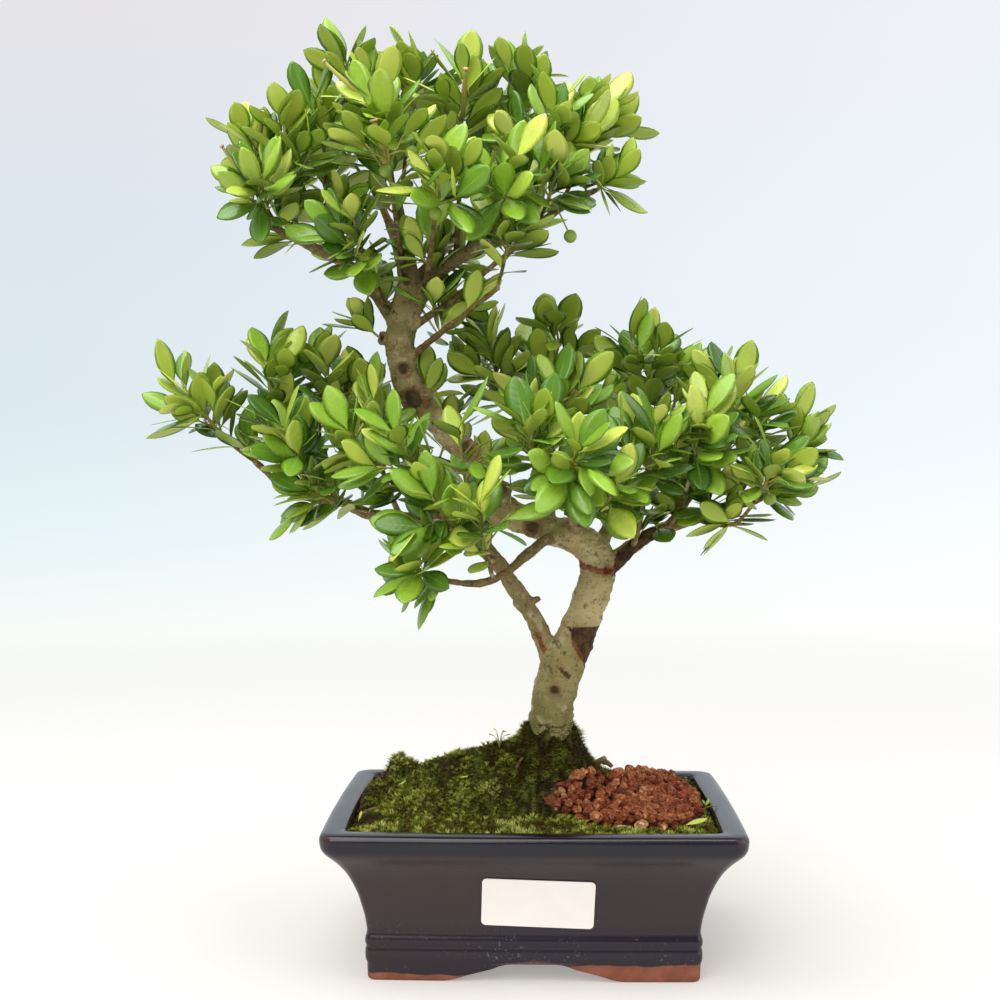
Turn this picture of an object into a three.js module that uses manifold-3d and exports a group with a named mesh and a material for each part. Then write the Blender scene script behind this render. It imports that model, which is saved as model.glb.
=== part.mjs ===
// Japanese holly (Ilex crenata) grown as an informal upright bonsai in a glazed ceramic pot.
// Millimetres, +Z up, the front of the pot towards -Y. The tree is modelled round the centre of
// the pot, and the group is moved at the end so that the middle of its footprint is the origin.

import * as THREE from 'three';
import { mergeVertices } from 'three/addons/utils/BufferGeometryUtils.js';
import Module from 'manifold-3d';

// Gap kept between two pieces that touch, and the shortest edge kept along a seam.
const GAP = 0.3;
const SEAM_EDGE = 0.02;

// Pot: a rounded rectangle in plan, with sides that bow out a little.
const POT_WIDTH = 184.5;
const POT_DEPTH = 143;
const POT_HEIGHT = 67.5;
const POT_CORNER_RADIUS = 7;
const POT_BOW = 1;
const RIM_WIDTH = 10.5;
const FLOOR_TOP = 13;
const FLOOR_UNDERSIDE = 8;
const FOOT_INSET = 19;
const FOOT_WIDTH = 9;
const FRONT_ARCH_WIDTH = 78;
const SIDE_ARCH_WIDTH = 48;

// Half of an arch under the foot as [share of half its width, height], from the table up.
const ARCH_OUTLINE = [[1, 0], [0.74, 2.8], [0.47, 5.5], [0.31, 7.8]];

// Outside of the wall as [height, inset from the rim's face]: foot, two ribs, waist, cove, rim.
const WALL_PROFILE = [
  [0, 19.8], [1.4, FOOT_INSET], [7.6, 18.8], [9, 18.2], [13.8, 18.1], [14.8, 18.7], [15.8, 18],
  [18.6, 18.1], [21.6, 18.8], [27, 18], [32.6, 16.8], [38.2, 15.2], [44, 12.9], [49.8, 9.8],
  [53.9, 6.5], [57, 3.4], [59.4, 1.3], [62, 0.3], [65, 0], [67.5, 1.2],
];
const CAVITY_PROFILE = [
  [FLOOR_TOP, 26], [40, 22.5], [62, RIM_WIDTH + 0.5],
];

// Drainage: two round holes, each covered by a square of plastic mesh.
const DRAIN_SPACING = 64;
const DRAIN_DIAMETER = 12;
const SCREEN_SIZE = 26;
const SCREEN_THICKNESS = 1.2;
const SCREEN_HOLE = 8;
const SCREEN_PITCH = 11;

// Blank paper label on the front of the pot.
const LABEL_CENTRE = [2, 35.6];
const LABEL_SIZE = [48.5, 22];
const LABEL_CORNER = 2;
const LABEL_THICKNESS = 0.6;
const LABEL_TILT = -2;

// Ground: height of the soil at the wall and the mounds that rise from it.
const SOIL_EDGE = POT_HEIGHT - 5;
const GROUND_FADE = 16;
const GROUND_CELLS = [9, 7];
const MOSS_THICKNESS = 3.4;
const MOSS_LUMP = 0.9;
const MOUNDS = [
  { x: 8, y: 10, height: 31, spread: 19 },
  { x: 8, y: -3, height: 24, spread: 9 },
  { x: -33, y: 6, height: 23, spread: 18 },
  { x: -66, y: 20, height: 19, spread: 12 },
  { x: 48, y: 32, height: 5, spread: 20 },
];

// Clay granules: the edge of their bed in plan, then the patches of moss beyond it.
const GRANULE_BED = [
  [5, -26], [16, -18], [35, -1], [44, 14], [48, 44], [62, 52], [70, 42], [78, 12], [75, -24], [61, -39],
  [31, -38], [18, -29],
];
const GRANULE_FIELD = { x: [4, 78], y: [-52, 52] };
const GRANULE_THICKNESS = 2.4;
const GRANULE_SIZE = 5.2;
const GRANULE_TRIES = 160;
const MOSS_BACK_RIGHT = [[68, 56], [80, 58], [81, 24], [73, 42]];
const MOSS_FRONT_RIGHT = [[64, -44], [77, -26], [79, -6], [82, -8], [82, -42], [80, -57], [62, -58]];

// Leaves, shoots and berries.
const LEAF_LENGTH = 23;
const LEAF_WIDTH = 12;
const LEAF_THICKNESS = 1;
const LEAF_ARCH = 0.1;
const LEAF_OUTLINE = [[0.17, 0.16], [0.48, 1], [0.82, 0.74]];
const LEAF_RIDGE = 0.5;
const SHOOT_RADIUS = 0.8;
const SIDE_SHOOT_RADIUS = 0.5;
const TWIG_RADIUS = 1.6;
const SHOOT_LENGTH = 30;
const SIDE_SHOOT_PLACE = 0.3;
const SIDE_SHOOT_SHARE = 0.62;
const BERRY_DIAMETER = 5.8;
const LEAF_CLEARANCE = 3.6;
const OWN_LEAF_CLEARANCE = 2.4;
const WOOD_CLEARANCE = 2.4;
const BERRY_CLEARANCE = 3;
const GOLDEN_ANGLE = 137.5;
const LEAF_LEAN = { low: 66, high: 32, step: 9 };
const LEAF_TRIES = 7;
const LEAF_RETRY_TURN = 51;
const FIRST_SEED = 1000;
const SEED_STEP = 17;

// A direction that no limb runs along: the turn round each limb and shoot is measured from it.
const REFERENCE = [0.31, 0.94, 0.13];

// Wood: the axis of each limb and its radius at the first and last point, or at every point.
const LIMBS = {
  trunk: {
    sides: 8,
    points: [
      [7, 0, 60], [7, 0, 84], [8, 0, 98], [9, 0, 114], [12, 0, 127], [17, -1, 138], [22, -2, 150],
      [27, -3, 164], [30, -4, 175], [27, -5, 185], [18, -6, 191], [5, -6, 195], [-10, -4, 201],
      [-21, 0, 212], [-31, 4, 228], [-43, 5, 242], [-55, 4, 255], [-61, 2, 269], [-62, 0, 285],
      [-59, 0, 299], [-58, 0, 312], [-60, 1, 326], [-64, 3, 348],
    ],
    radii: [
      12.5, 12, 10.4, 10, 10.4, 9.6, 8.6, 8.3, 8.6, 8, 7.2, 6.8, 6.6, 6.3, 6, 6, 6.4, 6.8, 6.9,
      7.3, 4.6, 3.4, 2.2,
    ],
  },
  left_low: {
    sides: 6,
    points: [
      [11, 0, 128], [0, -6, 153], [-12, -14, 173], [-20, -22, 185], [-29, -30, 196], [-38, -36, 205],
    ],
    radii: [5.4, 4.2, 3.9, 3.3, 2.8, 2.3],
  },
  front_thin: {
    sides: 5,
    points: [
      [14, -4, 190], [6, -17, 190], [-2, -34, 185], [-12, -48, 177], [-23, -54, 173],
      [-35, -58, 174], [-46, -62, 177],
    ],
    radii: [3, 2.7, 2.3, 2, 1.8, 1.6, 1.3],
  },
  right: {
    sides: 6,
    points: [
      [27, -4, 171], [38, -5, 180], [53, -10, 192], [71, -14, 199], [83, -14, 204],
      [101, -12, 208], [113, -10, 215],
    ],
    radii: [6, 4.4, 3.2, 2.7, 2.4, 1.9, 1.5],
  },
  right_low: {
    sides: 4,
    points: [[74, -14, 200], [82, -22, 197], [92, -30, 198]],
    radii: [1.7, 1.5, 1.3],
  },
  right_up: {
    sides: 4,
    points: [[60, -11, 195], [72, -2, 208], [80, 8, 216], [89, 20, 222]],
    radii: [2, 1.7, 1.6, 1.4],
  },
  centre_right: {
    sides: 5,
    points: [[27, -4, 181], [37, 6, 198], [46, 12, 210], [56, 18, 222], [64, 22, 236]],
    radii: [4.2, 3, 2.5, 2.1, 1.7],
  },
  back_right: {
    sides: 5,
    points: [[28, -3, 178], [36, 16, 196], [40, 34, 212], [48, 46, 224]],
    radii: [3.6, 2.8, 2.2, 1.6],
  },
  back_left: {
    sides: 5,
    points: [[-16, -2, 206], [-26, 16, 217], [-42, 30, 225], [-58, 38, 229]],
    radii: [3.4, 2.6, 2.1, 1.6],
  },
  centre_up: {
    sides: 5,
    points: [[8, -6, 194], [6, 2, 212], [0, 10, 230], [-4, 16, 246]],
    radii: [3.2, 2.6, 2.1, 1.6],
  },
  front_up: {
    sides: 5,
    points: [[20, -6, 190], [18, -24, 200], [12, -38, 208], [8, -48, 214]],
    radii: [3.4, 2.5, 2, 1.5],
  },
  left_long: {
    sides: 5,
    points: [
      [-10, -4, 201], [-30, -2, 196], [-48, 0, 198], [-76, 0, 201], [-90, -2, 207],
      [-108, -6, 210], [-119, -10, 217], [-129, -14, 227],
    ],
    radii: [4, 3.3, 3.2, 2.9, 2.5, 2.1, 1.7, 1.3],
  },
  crown_left: {
    sides: 5,
    points: [
      [-61, 1, 284], [-73, 0, 303], [-85, -2, 316], [-103, -6, 325], [-113, -8, 330],
      [-126, -10, 337], [-131, -12, 342],
    ],
    radii: [3.6, 2.9, 2.7, 2.4, 2.1, 1.7, 1.4],
  },
  crown_right: {
    sides: 6,
    points: [
      [-59, 0, 293], [-43, -4, 314], [-29, -8, 322], [-14, -12, 327], [3, -16, 334],
      [14, -20, 341], [28, -24, 347],
    ],
    radii: [4.6, 3.8, 3.2, 2.7, 2.2, 1.8, 1.4],
  },
  crown_back: {
    sides: 5,
    points: [[-59, 1, 302], [-64, 16, 324], [-72, 30, 346], [-80, 38, 362]],
    radii: [3.6, 2.7, 2.2, 1.6],
  },
  crown_back_right: {
    sides: 5,
    points: [[-58, 0, 306], [-44, 18, 326], [-28, 32, 344], [-14, 40, 358]],
    radii: [3.4, 2.6, 2.1, 1.6],
  },
  thin_low: {
    sides: 4,
    points: [[-60, 0, 272], [-42, -12, 285], [-24, -24, 297], [-15, -30, 303]],
    radii: [2, 1.6, 1.4, 1.2],
  },
  thin_high: {
    sides: 4,
    points: [[-60, 0, 286], [-37, -10, 300], [-20, -18, 313], [-8, -24, 322], [2, -30, 330]],
    radii: [2, 1.5, 1.3, 1.2, 1.1],
  },
};

// Stubs left by pruning: where each starts inside the wood, where it is cut off, and its radius.
const STUBS = [
  { from: [26, -3, 163], to: [36, -9, 175], radius: 3 },
  { from: [2, -5, 151], to: [-9, -10, 161], radius: 1.5 },
  { from: [-5, -9, 160], to: [3, -12, 163], radius: 1.6 },
  { from: [-16, -2, 206], to: [-14, -13, 214], radius: 3.8 },
  { from: [-61, 1, 279], to: [-71, -4, 283], radius: 2.6 },
  { from: [-52, 4, 251], to: [-49, -6, 258], radius: 2.8 },
  { from: [113, -10, 215], to: [119, -14, 210], radius: 1.2 },
];

// Leafy sprays: the limb and the number of its point that each grows from, and where it ends.
const SPRAYS = {
  crown_left: [
    { limb: 'crown_left', point: 6, tip: [-128, -4, 369] },
    { limb: 'crown_left', point: 5, tip: [-120, -36, 348] },
    { limb: 'crown_left', point: 4, tip: [-113, -18, 380] },
    { limb: 'crown_left', point: 3, tip: [-99, 4, 395] },
  ],
  crown_top: [
    { limb: 'trunk', point: 22, tip: [-87, -8, 407] },
    { limb: 'trunk', point: 22, tip: [-57, 12, 412] },
    { limb: 'trunk', point: 21, tip: [-66, -40, 386] },
    { limb: 'crown_right', point: 2, tip: [-32, -18, 398] },
    { limb: 'crown_right', point: 3, tip: [-9, 4, 406] },
  ],
  crown_front: [
    { limb: 'trunk', point: 20, tip: [-62, -66, 362] },
    { limb: 'crown_right', point: 1, tip: [-39, -72, 348] },
    { limb: 'crown_left', point: 1, tip: [-78, -46, 330] },
    { limb: 'crown_right', point: 3, tip: [-8, -58, 352] },
    { limb: 'thin_high', point: 4, tip: [10, -50, 350] },
    { limb: 'thin_low', point: 3, tip: [-10, -46, 327] },
  ],
  crown_right: [
    { limb: 'crown_right', point: 4, tip: [9, -34, 381] },
    { limb: 'crown_right', point: 5, tip: [28, -4, 384] },
    { limb: 'crown_right', point: 6, tip: [31, -26, 349] },
  ],
  crown_back: [
    { limb: 'crown_back', point: 3, tip: [-100, 44, 400] },
    { limb: 'crown_left', point: 4, tip: [-128, 30, 368] },
    { limb: 'crown_back_right', point: 3, tip: [-18, 54, 402] },
  ],
  left: [
    { limb: 'left_long', point: 7, tip: [-152, -26, 253] },
    { limb: 'left_long', point: 6, tip: [-122, -16, 271] },
    { limb: 'left_long', point: 5, tip: [-101, 6, 271] },
    { limb: 'left_long', point: 5, tip: [-110, -40, 240] },
    { limb: 'left_long', point: 3, tip: [-80, 2, 262] },
    { limb: 'left_long', point: 3, tip: [-100, -32, 212] },
    { limb: 'left_long', point: 2, tip: [-80, -50, 238] },
    { limb: 'back_left', point: 3, tip: [-90, 40, 246] },
  ],
  front: [
    { limb: 'left_low', point: 5, tip: [-58, -70, 236] },
    { limb: 'left_low', point: 4, tip: [-32, -64, 240] },
    { limb: 'left_low', point: 3, tip: [-42, -78, 210] },
    { limb: 'front_thin', point: 6, tip: [-49, -66, 180] },
    { limb: 'front_thin', point: 4, tip: [-22, -90, 208] },
    { limb: 'front_up', point: 3, tip: [-4, -70, 240] },
    { limb: 'front_up', point: 3, tip: [18, -84, 230] },
    { limb: 'front_up', point: 1, tip: [36, -66, 216] },
  ],
  middle: [
    { limb: 'trunk', point: 10, tip: [10, -38, 256] },
    { limb: 'centre_up', point: 3, tip: [-22, 20, 280] },
    { limb: 'centre_up', point: 3, tip: [13, 26, 285] },
  ],
  right: [
    { limb: 'centre_right', point: 4, tip: [45, 4, 282] },
    { limb: 'centre_right', point: 3, tip: [72, 32, 268] },
    { limb: 'right', point: 2, tip: [52, -56, 240] },
    { limb: 'right', point: 3, tip: [74, -46, 244] },
    { limb: 'right', point: 4, tip: [90, -14, 260] },
    { limb: 'right_low', point: 2, tip: [103, -48, 223] },
    { limb: 'right', point: 5, tip: [100, -24, 249] },
    { limb: 'right', point: 6, tip: [119, -14, 236] },
    { limb: 'right_up', point: 3, tip: [98, 34, 242] },
    { limb: 'back_right', point: 3, tip: [34, 64, 256] },
  ],
};
const LEAVES_ON_LEADER = 5;
const LEAVES_ON_SIDE_SHOOT = 3;

// Unripe berries, and the spray that carries each.
const BERRIES = [
  { spray: 'crown_front_1', centre: [-63, -58, 349] },
  { spray: 'crown_front_1', centre: [-52, -56, 357] },
  { spray: 'crown_front_2', centre: [-42, -56, 331] },
  { spray: 'crown_front_5', centre: [16, -38, 324] },
  { spray: 'right_6', centre: [104, -34, 209] },
];

// Closed bodies: how they are made from meshes, joined and cut.
const wasm = await Module();
wasm.setup();

function toSolid(geometry) {
  const plain = geometry.clone();
  plain.deleteAttribute('normal');
  plain.deleteAttribute('uv');
  const merged = mergeVertices(plain, 1e-3);
  return new wasm.Manifold(new wasm.Mesh({
    numProp: 3,
    vertProperties: new Float32Array(merged.attributes.position.array),
    triVerts: new Uint32Array(merged.index.array),
  }));
}

function toGeometry(solid) {
  const { vertProperties, triVerts } = solid.getMesh();
  const geometry = new THREE.BufferGeometry();
  geometry.setAttribute('position', new THREE.BufferAttribute(vertProperties, 3));
  geometry.setIndex(new THREE.BufferAttribute(triVerts, 1));
  geometry.computeVertexNormals();
  return geometry;
}

// Several solids fused into one body, with any pocket sealed inside it filled.
function fuse(solids) {
  const pieces = wasm.Manifold.union(solids).decompose();
  pieces.sort((a, b) => b.volume() - a.volume());
  return pieces[0].simplify(SEAM_EDGE);
}

function meshGeometry(positions, index) {
  const geometry = new THREE.BufferGeometry();
  geometry.setAttribute('position', new THREE.Float32BufferAttribute(positions, 3));
  geometry.setIndex(index);
  return geometry;
}

// Closed body through rings of points, each ring turning anticlockwise about the way ahead.
function loft(rings) {
  const count = rings[0].length;
  const last = (rings.length - 1) * count;
  const index = [];
  for (let r = 0; r < rings.length - 1; r += 1) {
    for (let i = 0; i < count; i += 1) {
      const a = r * count + i;
      const b = r * count + ((i + 1) % count);
      index.push(a, b, b + count, a, b + count, a + count);
    }
  }
  for (let i = 1; i < count - 1; i += 1) {
    index.push(0, i + 1, i, last, last + i, last + i + 1);
  }
  return meshGeometry(rings.flat().flatMap((p) => [p.x, p.y, p.z]), index);
}

// Tapered tube round a line of points, with one radius for each point.
function tube(points, radii, sides) {
  const side = new THREE.Vector3(...REFERENCE);
  const rings = points.map((point, i) => {
    const before = points[Math.max(i - 1, 0)];
    const after = points[Math.min(i + 1, points.length - 1)];
    const along = after.clone().sub(before).normalize();
    side.addScaledVector(along, -side.dot(along)).normalize();
    const across = along.clone().cross(side);
    return Array.from({ length: sides }, (_, k) => {
      const angle = (2 * Math.PI * k) / sides;
      return point.clone()
        .addScaledVector(side, radii[i] * Math.cos(angle))
        .addScaledVector(across, radii[i] * Math.sin(angle));
    });
  });
  return loft(rings);
}

function vectors(points) {
  return points.map((p) => new THREE.Vector3(...p));
}

// Upright prism on a plan outline.
function prism(outline, bottom, top) {
  const shape = new THREE.Shape(outline.map(([x, y]) => new THREE.Vector2(x, y)));
  const geometry = new THREE.ExtrudeGeometry(shape, { depth: top - bottom, bevelEnabled: false });
  return toSolid(geometry.translate(0, 0, bottom));
}

// Repeatable random numbers between 0 and 1.
function randomFrom(seed) {
  let state = seed;
  return () => {
    state = (state + 0x6d2b79f5) | 0;
    let t = Math.imul(state ^ (state >>> 15), 1 | state);
    t = (t + Math.imul(t ^ (t >>> 7), 61 | t)) ^ t;
    return ((t ^ (t >>> 14)) >>> 0) / 4294967296;
  };
}

// Plan of the pot at a given inset from the rim's face, anticlockwise, as a ring at one height.
function potRing(inset, z) {
  const halfWidth = POT_WIDTH / 2 - inset;
  const halfDepth = POT_DEPTH / 2 - inset;
  const radius = Math.max(POT_CORNER_RADIUS - inset / 4, 3);
  const ring = [];
  const corners = [[1, 1, 0], [-1, 1, 90], [-1, -1, 180], [1, -1, 270]];
  for (const [sx, sy, start] of corners) {
    for (const turn of [0, 45, 90]) {
      const angle = THREE.MathUtils.degToRad(start + turn);
      ring.push(new THREE.Vector3(
        sx * (halfWidth - POT_BOW - radius) + radius * Math.cos(angle),
        sy * (halfDepth - POT_BOW - radius) + radius * Math.sin(angle),
        z,
      ));
    }
    const middle = start % 180 === 0 ? [0, sy * halfDepth] : [sx * halfWidth, 0];
    ring.push(new THREE.Vector3(...middle, z));
  }
  return ring;
}

function potLoft(profile, grow = 0) {
  return toSolid(loft(profile.map(([z, inset]) => potRing(inset - grow, z))));
}

// Low arch cut through the foot ring from side to side.
function footArch(width, length) {
  const half = width / 2;
  const right = ARCH_OUTLINE.map(([share, z]) => new THREE.Vector2(share * half, z));
  const left = right.map(({ x, y }) => new THREE.Vector2(-x, y)).reverse();
  const foot = [new THREE.Vector2(-half, -1), new THREE.Vector2(half, -1)];
  const shape = new THREE.Shape([...right, ...left, ...foot]);
  const geometry = new THREE.ExtrudeGeometry(shape, { depth: length, bevelEnabled: false });
  return geometry.translate(0, 0, -length / 2).rotateX(Math.PI / 2);
}

function makePot() {
  let pot = potLoft(WALL_PROFILE);
  const mouth = [[POT_HEIGHT, RIM_WIDTH], [POT_HEIGHT + 5, RIM_WIDTH]];
  pot = pot.subtract(potLoft([...CAVITY_PROFILE, ...mouth]));
  const footInset = FOOT_INSET + FOOT_WIDTH;
  pot = pot.subtract(potLoft([[-1, footInset], [FLOOR_UNDERSIDE, footInset + 1]]));
  pot = pot.subtract(toSolid(footArch(FRONT_ARCH_WIDTH, POT_DEPTH)));
  pot = pot.subtract(toSolid(footArch(SIDE_ARCH_WIDTH, POT_WIDTH).rotateZ(Math.PI / 2)));
  for (const side of [-1, 1]) {
    const hole = new THREE.CylinderGeometry(DRAIN_DIAMETER / 2, DRAIN_DIAMETER / 2, 20, 10);
    hole.rotateX(Math.PI / 2).translate(side * DRAIN_SPACING / 2, 0, FLOOR_TOP - 5);
    pot = pot.subtract(toSolid(hole));
  }
  return pot;
}

function squarePoints(cx, cy, size) {
  const h = size / 2;
  return [[cx - h, cy - h], [cx + h, cy - h], [cx + h, cy + h], [cx - h, cy + h]];
}

// Square of coarse plastic mesh, two holes by two.
function makeScreen() {
  let screen = prism(squarePoints(0, 0, SCREEN_SIZE), 0, SCREEN_THICKNESS);
  for (const column of [-0.5, 0.5]) {
    for (const row of [-0.5, 0.5]) {
      const corners = squarePoints(column * SCREEN_PITCH, row * SCREEN_PITCH, SCREEN_HOLE);
      screen = screen.subtract(prism(corners, -1, SCREEN_THICKNESS + 1));
    }
  }
  return screen;
}

// Paper label: a slice of a skin that follows the wall, cut to a rounded rectangle.
function makeLabel() {
  const [width, height] = LABEL_SIZE;
  const x = width / 2 - LABEL_CORNER;
  const z = height / 2 - LABEL_CORNER;
  const shape = new THREE.Shape();
  shape.absarc(x, z, LABEL_CORNER, 0, Math.PI / 2);
  shape.absarc(-x, z, LABEL_CORNER, Math.PI / 2, Math.PI);
  shape.absarc(-x, -z, LABEL_CORNER, Math.PI, 1.5 * Math.PI);
  shape.absarc(x, -z, LABEL_CORNER, 1.5 * Math.PI, 2 * Math.PI);
  const options = { depth: POT_DEPTH, bevelEnabled: false, curveSegments: 3 };
  const cutter = new THREE.ExtrudeGeometry(shape, options);
  cutter.rotateZ(THREE.MathUtils.degToRad(LABEL_TILT)).rotateX(Math.PI / 2);
  cutter.translate(LABEL_CENTRE[0], 0, LABEL_CENTRE[1]);
  const skin = potLoft(WALL_PROFILE, GAP + LABEL_THICKNESS).subtract(potLoft(WALL_PROFILE, GAP));
  return skin.intersect(toSolid(cutter));
}

// Height of the soil: mounds that fade out towards the wall.
function soilHeight(x, y) {
  const toSide = POT_WIDTH / 2 - RIM_WIDTH - Math.abs(x);
  const toFront = POT_DEPTH / 2 - RIM_WIDTH - Math.abs(y);
  const edge = Math.min(toSide, toFront);
  const fade = THREE.MathUtils.smoothstep(edge, 0, GROUND_FADE);
  let height = 0;
  for (const mound of MOUNDS) {
    const far = ((x - mound.x) ** 2 + (y - mound.y) ** 2) / (2 * mound.spread ** 2);
    height += mound.height * Math.exp(-far);
  }
  return SOIL_EDGE + fade * height;
}

function mossHeight(x, y) {
  const lumps = Math.sin(x / 5.3 + 1) * Math.cos(y / 4.7) + Math.sin(x / 3.1 - y / 3.9);
  return soilHeight(x, y) + GAP + MOSS_THICKNESS + MOSS_LUMP * lumps;
}

// Closed body between two height functions, on one grid that all ground pieces share.
function groundBody(bottom, top) {
  const [columns, rows] = GROUND_CELLS;
  const positions = [];
  const index = [];
  const at = (i, j, layer) => 2 * (j * (columns + 1) + i) + layer;
  const quad = (a, b, c, d) => index.push(a, b, c, a, c, d);
  for (let j = 0; j <= rows; j += 1) {
    for (let i = 0; i <= columns; i += 1) {
      const x = (i / columns - 0.5) * POT_WIDTH;
      const y = (j / rows - 0.5) * POT_DEPTH;
      positions.push(x, y, bottom(x, y), x, y, top(x, y));
    }
  }
  for (let j = 0; j < rows; j += 1) {
    for (let i = 0; i < columns; i += 1) {
      quad(at(i, j, 1), at(i + 1, j, 1), at(i + 1, j + 1, 1), at(i, j + 1, 1));
      index.push(at(i, j, 0), at(i + 1, j + 1, 0), at(i + 1, j, 0));
      index.push(at(i, j, 0), at(i, j + 1, 0), at(i + 1, j + 1, 0));
    }
  }
  for (let i = 0; i < columns; i += 1) {
    quad(at(i, 0, 0), at(i + 1, 0, 0), at(i + 1, 0, 1), at(i, 0, 1));
    quad(at(i + 1, rows, 0), at(i, rows, 0), at(i, rows, 1), at(i + 1, rows, 1));
  }
  for (let j = 0; j < rows; j += 1) {
    quad(at(columns, j, 0), at(columns, j + 1, 0), at(columns, j + 1, 1), at(columns, j, 1));
    quad(at(0, j + 1, 0), at(0, j, 0), at(0, j, 1), at(0, j + 1, 1));
  }
  return toSolid(meshGeometry(positions, index));
}

// Room that the ground fills: the cavity less the gap, open upwards.
function groundRoom() {
  const [, ...upper] = CAVITY_PROFILE;
  const floor = [FLOOR_TOP + GAP, CAVITY_PROFILE[0][1]];
  return potLoft([floor, ...upper, [POT_HEIGHT + 60, RIM_WIDTH + 0.4]], -GAP);
}

// Hole that the trunk stands in.
function trunkHole() {
  const { points, radii, sides } = LIMBS.trunk;
  const start = new THREE.Vector3(...points[0]).add(new THREE.Vector3(0, 0, -GAP));
  const path = [start, ...vectors(points.slice(1, 4))];
  const widths = radii.slice(0, 4).map((r) => r + 1.5 * GAP);
  return toSolid(tube(path, widths, sides));
}

function makeSoil() {
  let soil = groundRoom().intersect(groundBody(() => 0, soilHeight)).subtract(trunkHole());
  for (const side of [-1, 1]) {
    const pocket = squarePoints(side * DRAIN_SPACING / 2, 0, SCREEN_SIZE + 2 * GAP);
    soil = soil.subtract(prism(pocket, 0, FLOOR_TOP + SCREEN_THICKNESS + 2 * GAP));
  }
  return soil;
}

// Plan outline moved outwards along all its edges. Its corners run clockwise.
function planOutline(corners, grow) {
  return corners.map(([x, y], i) => {
    const [beforeX, beforeY] = corners.at(i - 1);
    const [afterX, afterY] = corners[(i + 1) % corners.length];
    const first = new THREE.Vector2(beforeY - y, x - beforeX).normalize();
    const second = new THREE.Vector2(y - afterY, afterX - x).normalize();
    const out = first.clone().add(second).normalize();
    const reach = grow / Math.max(out.dot(first), 0.5);
    return [x + reach * out.x, y + reach * out.y];
  });
}

function mossSheet() {
  const body = groundBody((x, y) => soilHeight(x, y) + GAP, mossHeight);
  return body.intersect(groundRoom()).subtract(trunkHole());
}

function mossPatch(corners) {
  return mossSheet().intersect(prism(planOutline(corners, 0), 0, 200));
}

// Main sheet of moss: all the ground left of the granules and of the two patches.
function makeMossSheet() {
  let sheet = mossSheet();
  for (const corners of [GRANULE_BED, MOSS_BACK_RIGHT, MOSS_FRONT_RIGHT]) {
    sheet = sheet.subtract(prism(planOutline(corners, 1), 0, 200));
  }
  return fuse([sheet]);
}

// Bed of fired clay granules: a thin layer with angular grains sunk into it.
function makeGranules() {
  const random = randomFrom(11);
  const body = groundBody(
    (x, y) => soilHeight(x, y) + GAP,
    (x, y) => soilHeight(x, y) + GAP + GRANULE_THICKNESS,
  );
  const bed = body.intersect(groundRoom()).intersect(prism(planOutline(GRANULE_BED, 0), 0, 200));
  const solids = [bed];
  const inner = planOutline(GRANULE_BED, -GRANULE_SIZE * 0.6).map(([x, y]) => new THREE.Vector2(x, y));
  const places = [];
  for (let attempt = 0; attempt < GRANULE_TRIES; attempt += 1) {
    const x = THREE.MathUtils.lerp(...GRANULE_FIELD.x, random());
    const y = THREE.MathUtils.lerp(...GRANULE_FIELD.y, random());
    const size = GRANULE_SIZE * (0.8 + 0.4 * random());
    const turn = [random(), random(), random()].map((r) => 2 * Math.PI * r);
    const crowded = places.some((p) => Math.hypot(p[0] - x, p[1] - y) < 1.2 * GRANULE_SIZE);
    if (crowded || !insideOutline(x, y, inner)) continue;
    places.push([x, y]);
    const grain = new THREE.OctahedronGeometry(size / 2);
    grain.scale(1.15, 0.95, 0.8).rotateX(turn[0]).rotateY(turn[1]).rotateZ(turn[2]);
    grain.translate(x, y, soilHeight(x, y) + GAP + GRANULE_THICKNESS + 0.2 * size);
    solids.push(toSolid(grain));
  }
  return fuse(solids);
}

function insideOutline(x, y, outline) {
  let inside = false;
  outline.forEach((p, i) => {
    const q = outline[(i + 1) % outline.length];
    const crosses = (p.y > y) !== (q.y > y);
    if (crosses && x < p.x + ((y - p.y) * (q.x - p.x)) / (q.y - p.y)) inside = !inside;
  });
  return inside;
}

// Stem of a spray: it leaves its limb outwards and bends up to its tip.
function sprayStem(spray) {
  const { points, radii } = LIMBS[spray.limb];
  const back = spray.point === points.length - 1 ? 0.2 : 0.5;
  const [before, at] = vectors(points.slice(spray.point - 1, spray.point + 1));
  const start = at.lerp(before, back);
  const tip = new THREE.Vector3(...spray.tip);
  const bend = new THREE.Vector3(
    0.4 * start.x + 0.6 * tip.x,
    0.4 * start.y + 0.6 * tip.y,
    0.65 * start.z + 0.35 * tip.z,
  );
  const curve = new THREE.QuadraticBezierCurve3(start, bend, tip);
  const length = start.distanceTo(tip);
  const woodShare = Math.max(0.45, 1 - SHOOT_LENGTH / length);
  const rootRadius = Math.min(TWIG_RADIUS, 0.6 * radii[spray.point]);
  return { curve, length, woodShare, rootRadius };
}

function curvePoints(curve, from, to, count) {
  return Array.from({ length: count + 1 }, (_, i) => curve.getPoint(from + ((to - from) * i) / count));
}

// Brown twig: the part of the stem that has turned to wood.
function twig(stem) {
  const points = curvePoints(stem.curve, 0, stem.woodShare, 2);
  return { points, radii: [stem.rootRadius, (stem.rootRadius + SHOOT_RADIUS) / 2, SHOOT_RADIUS] };
}

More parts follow.
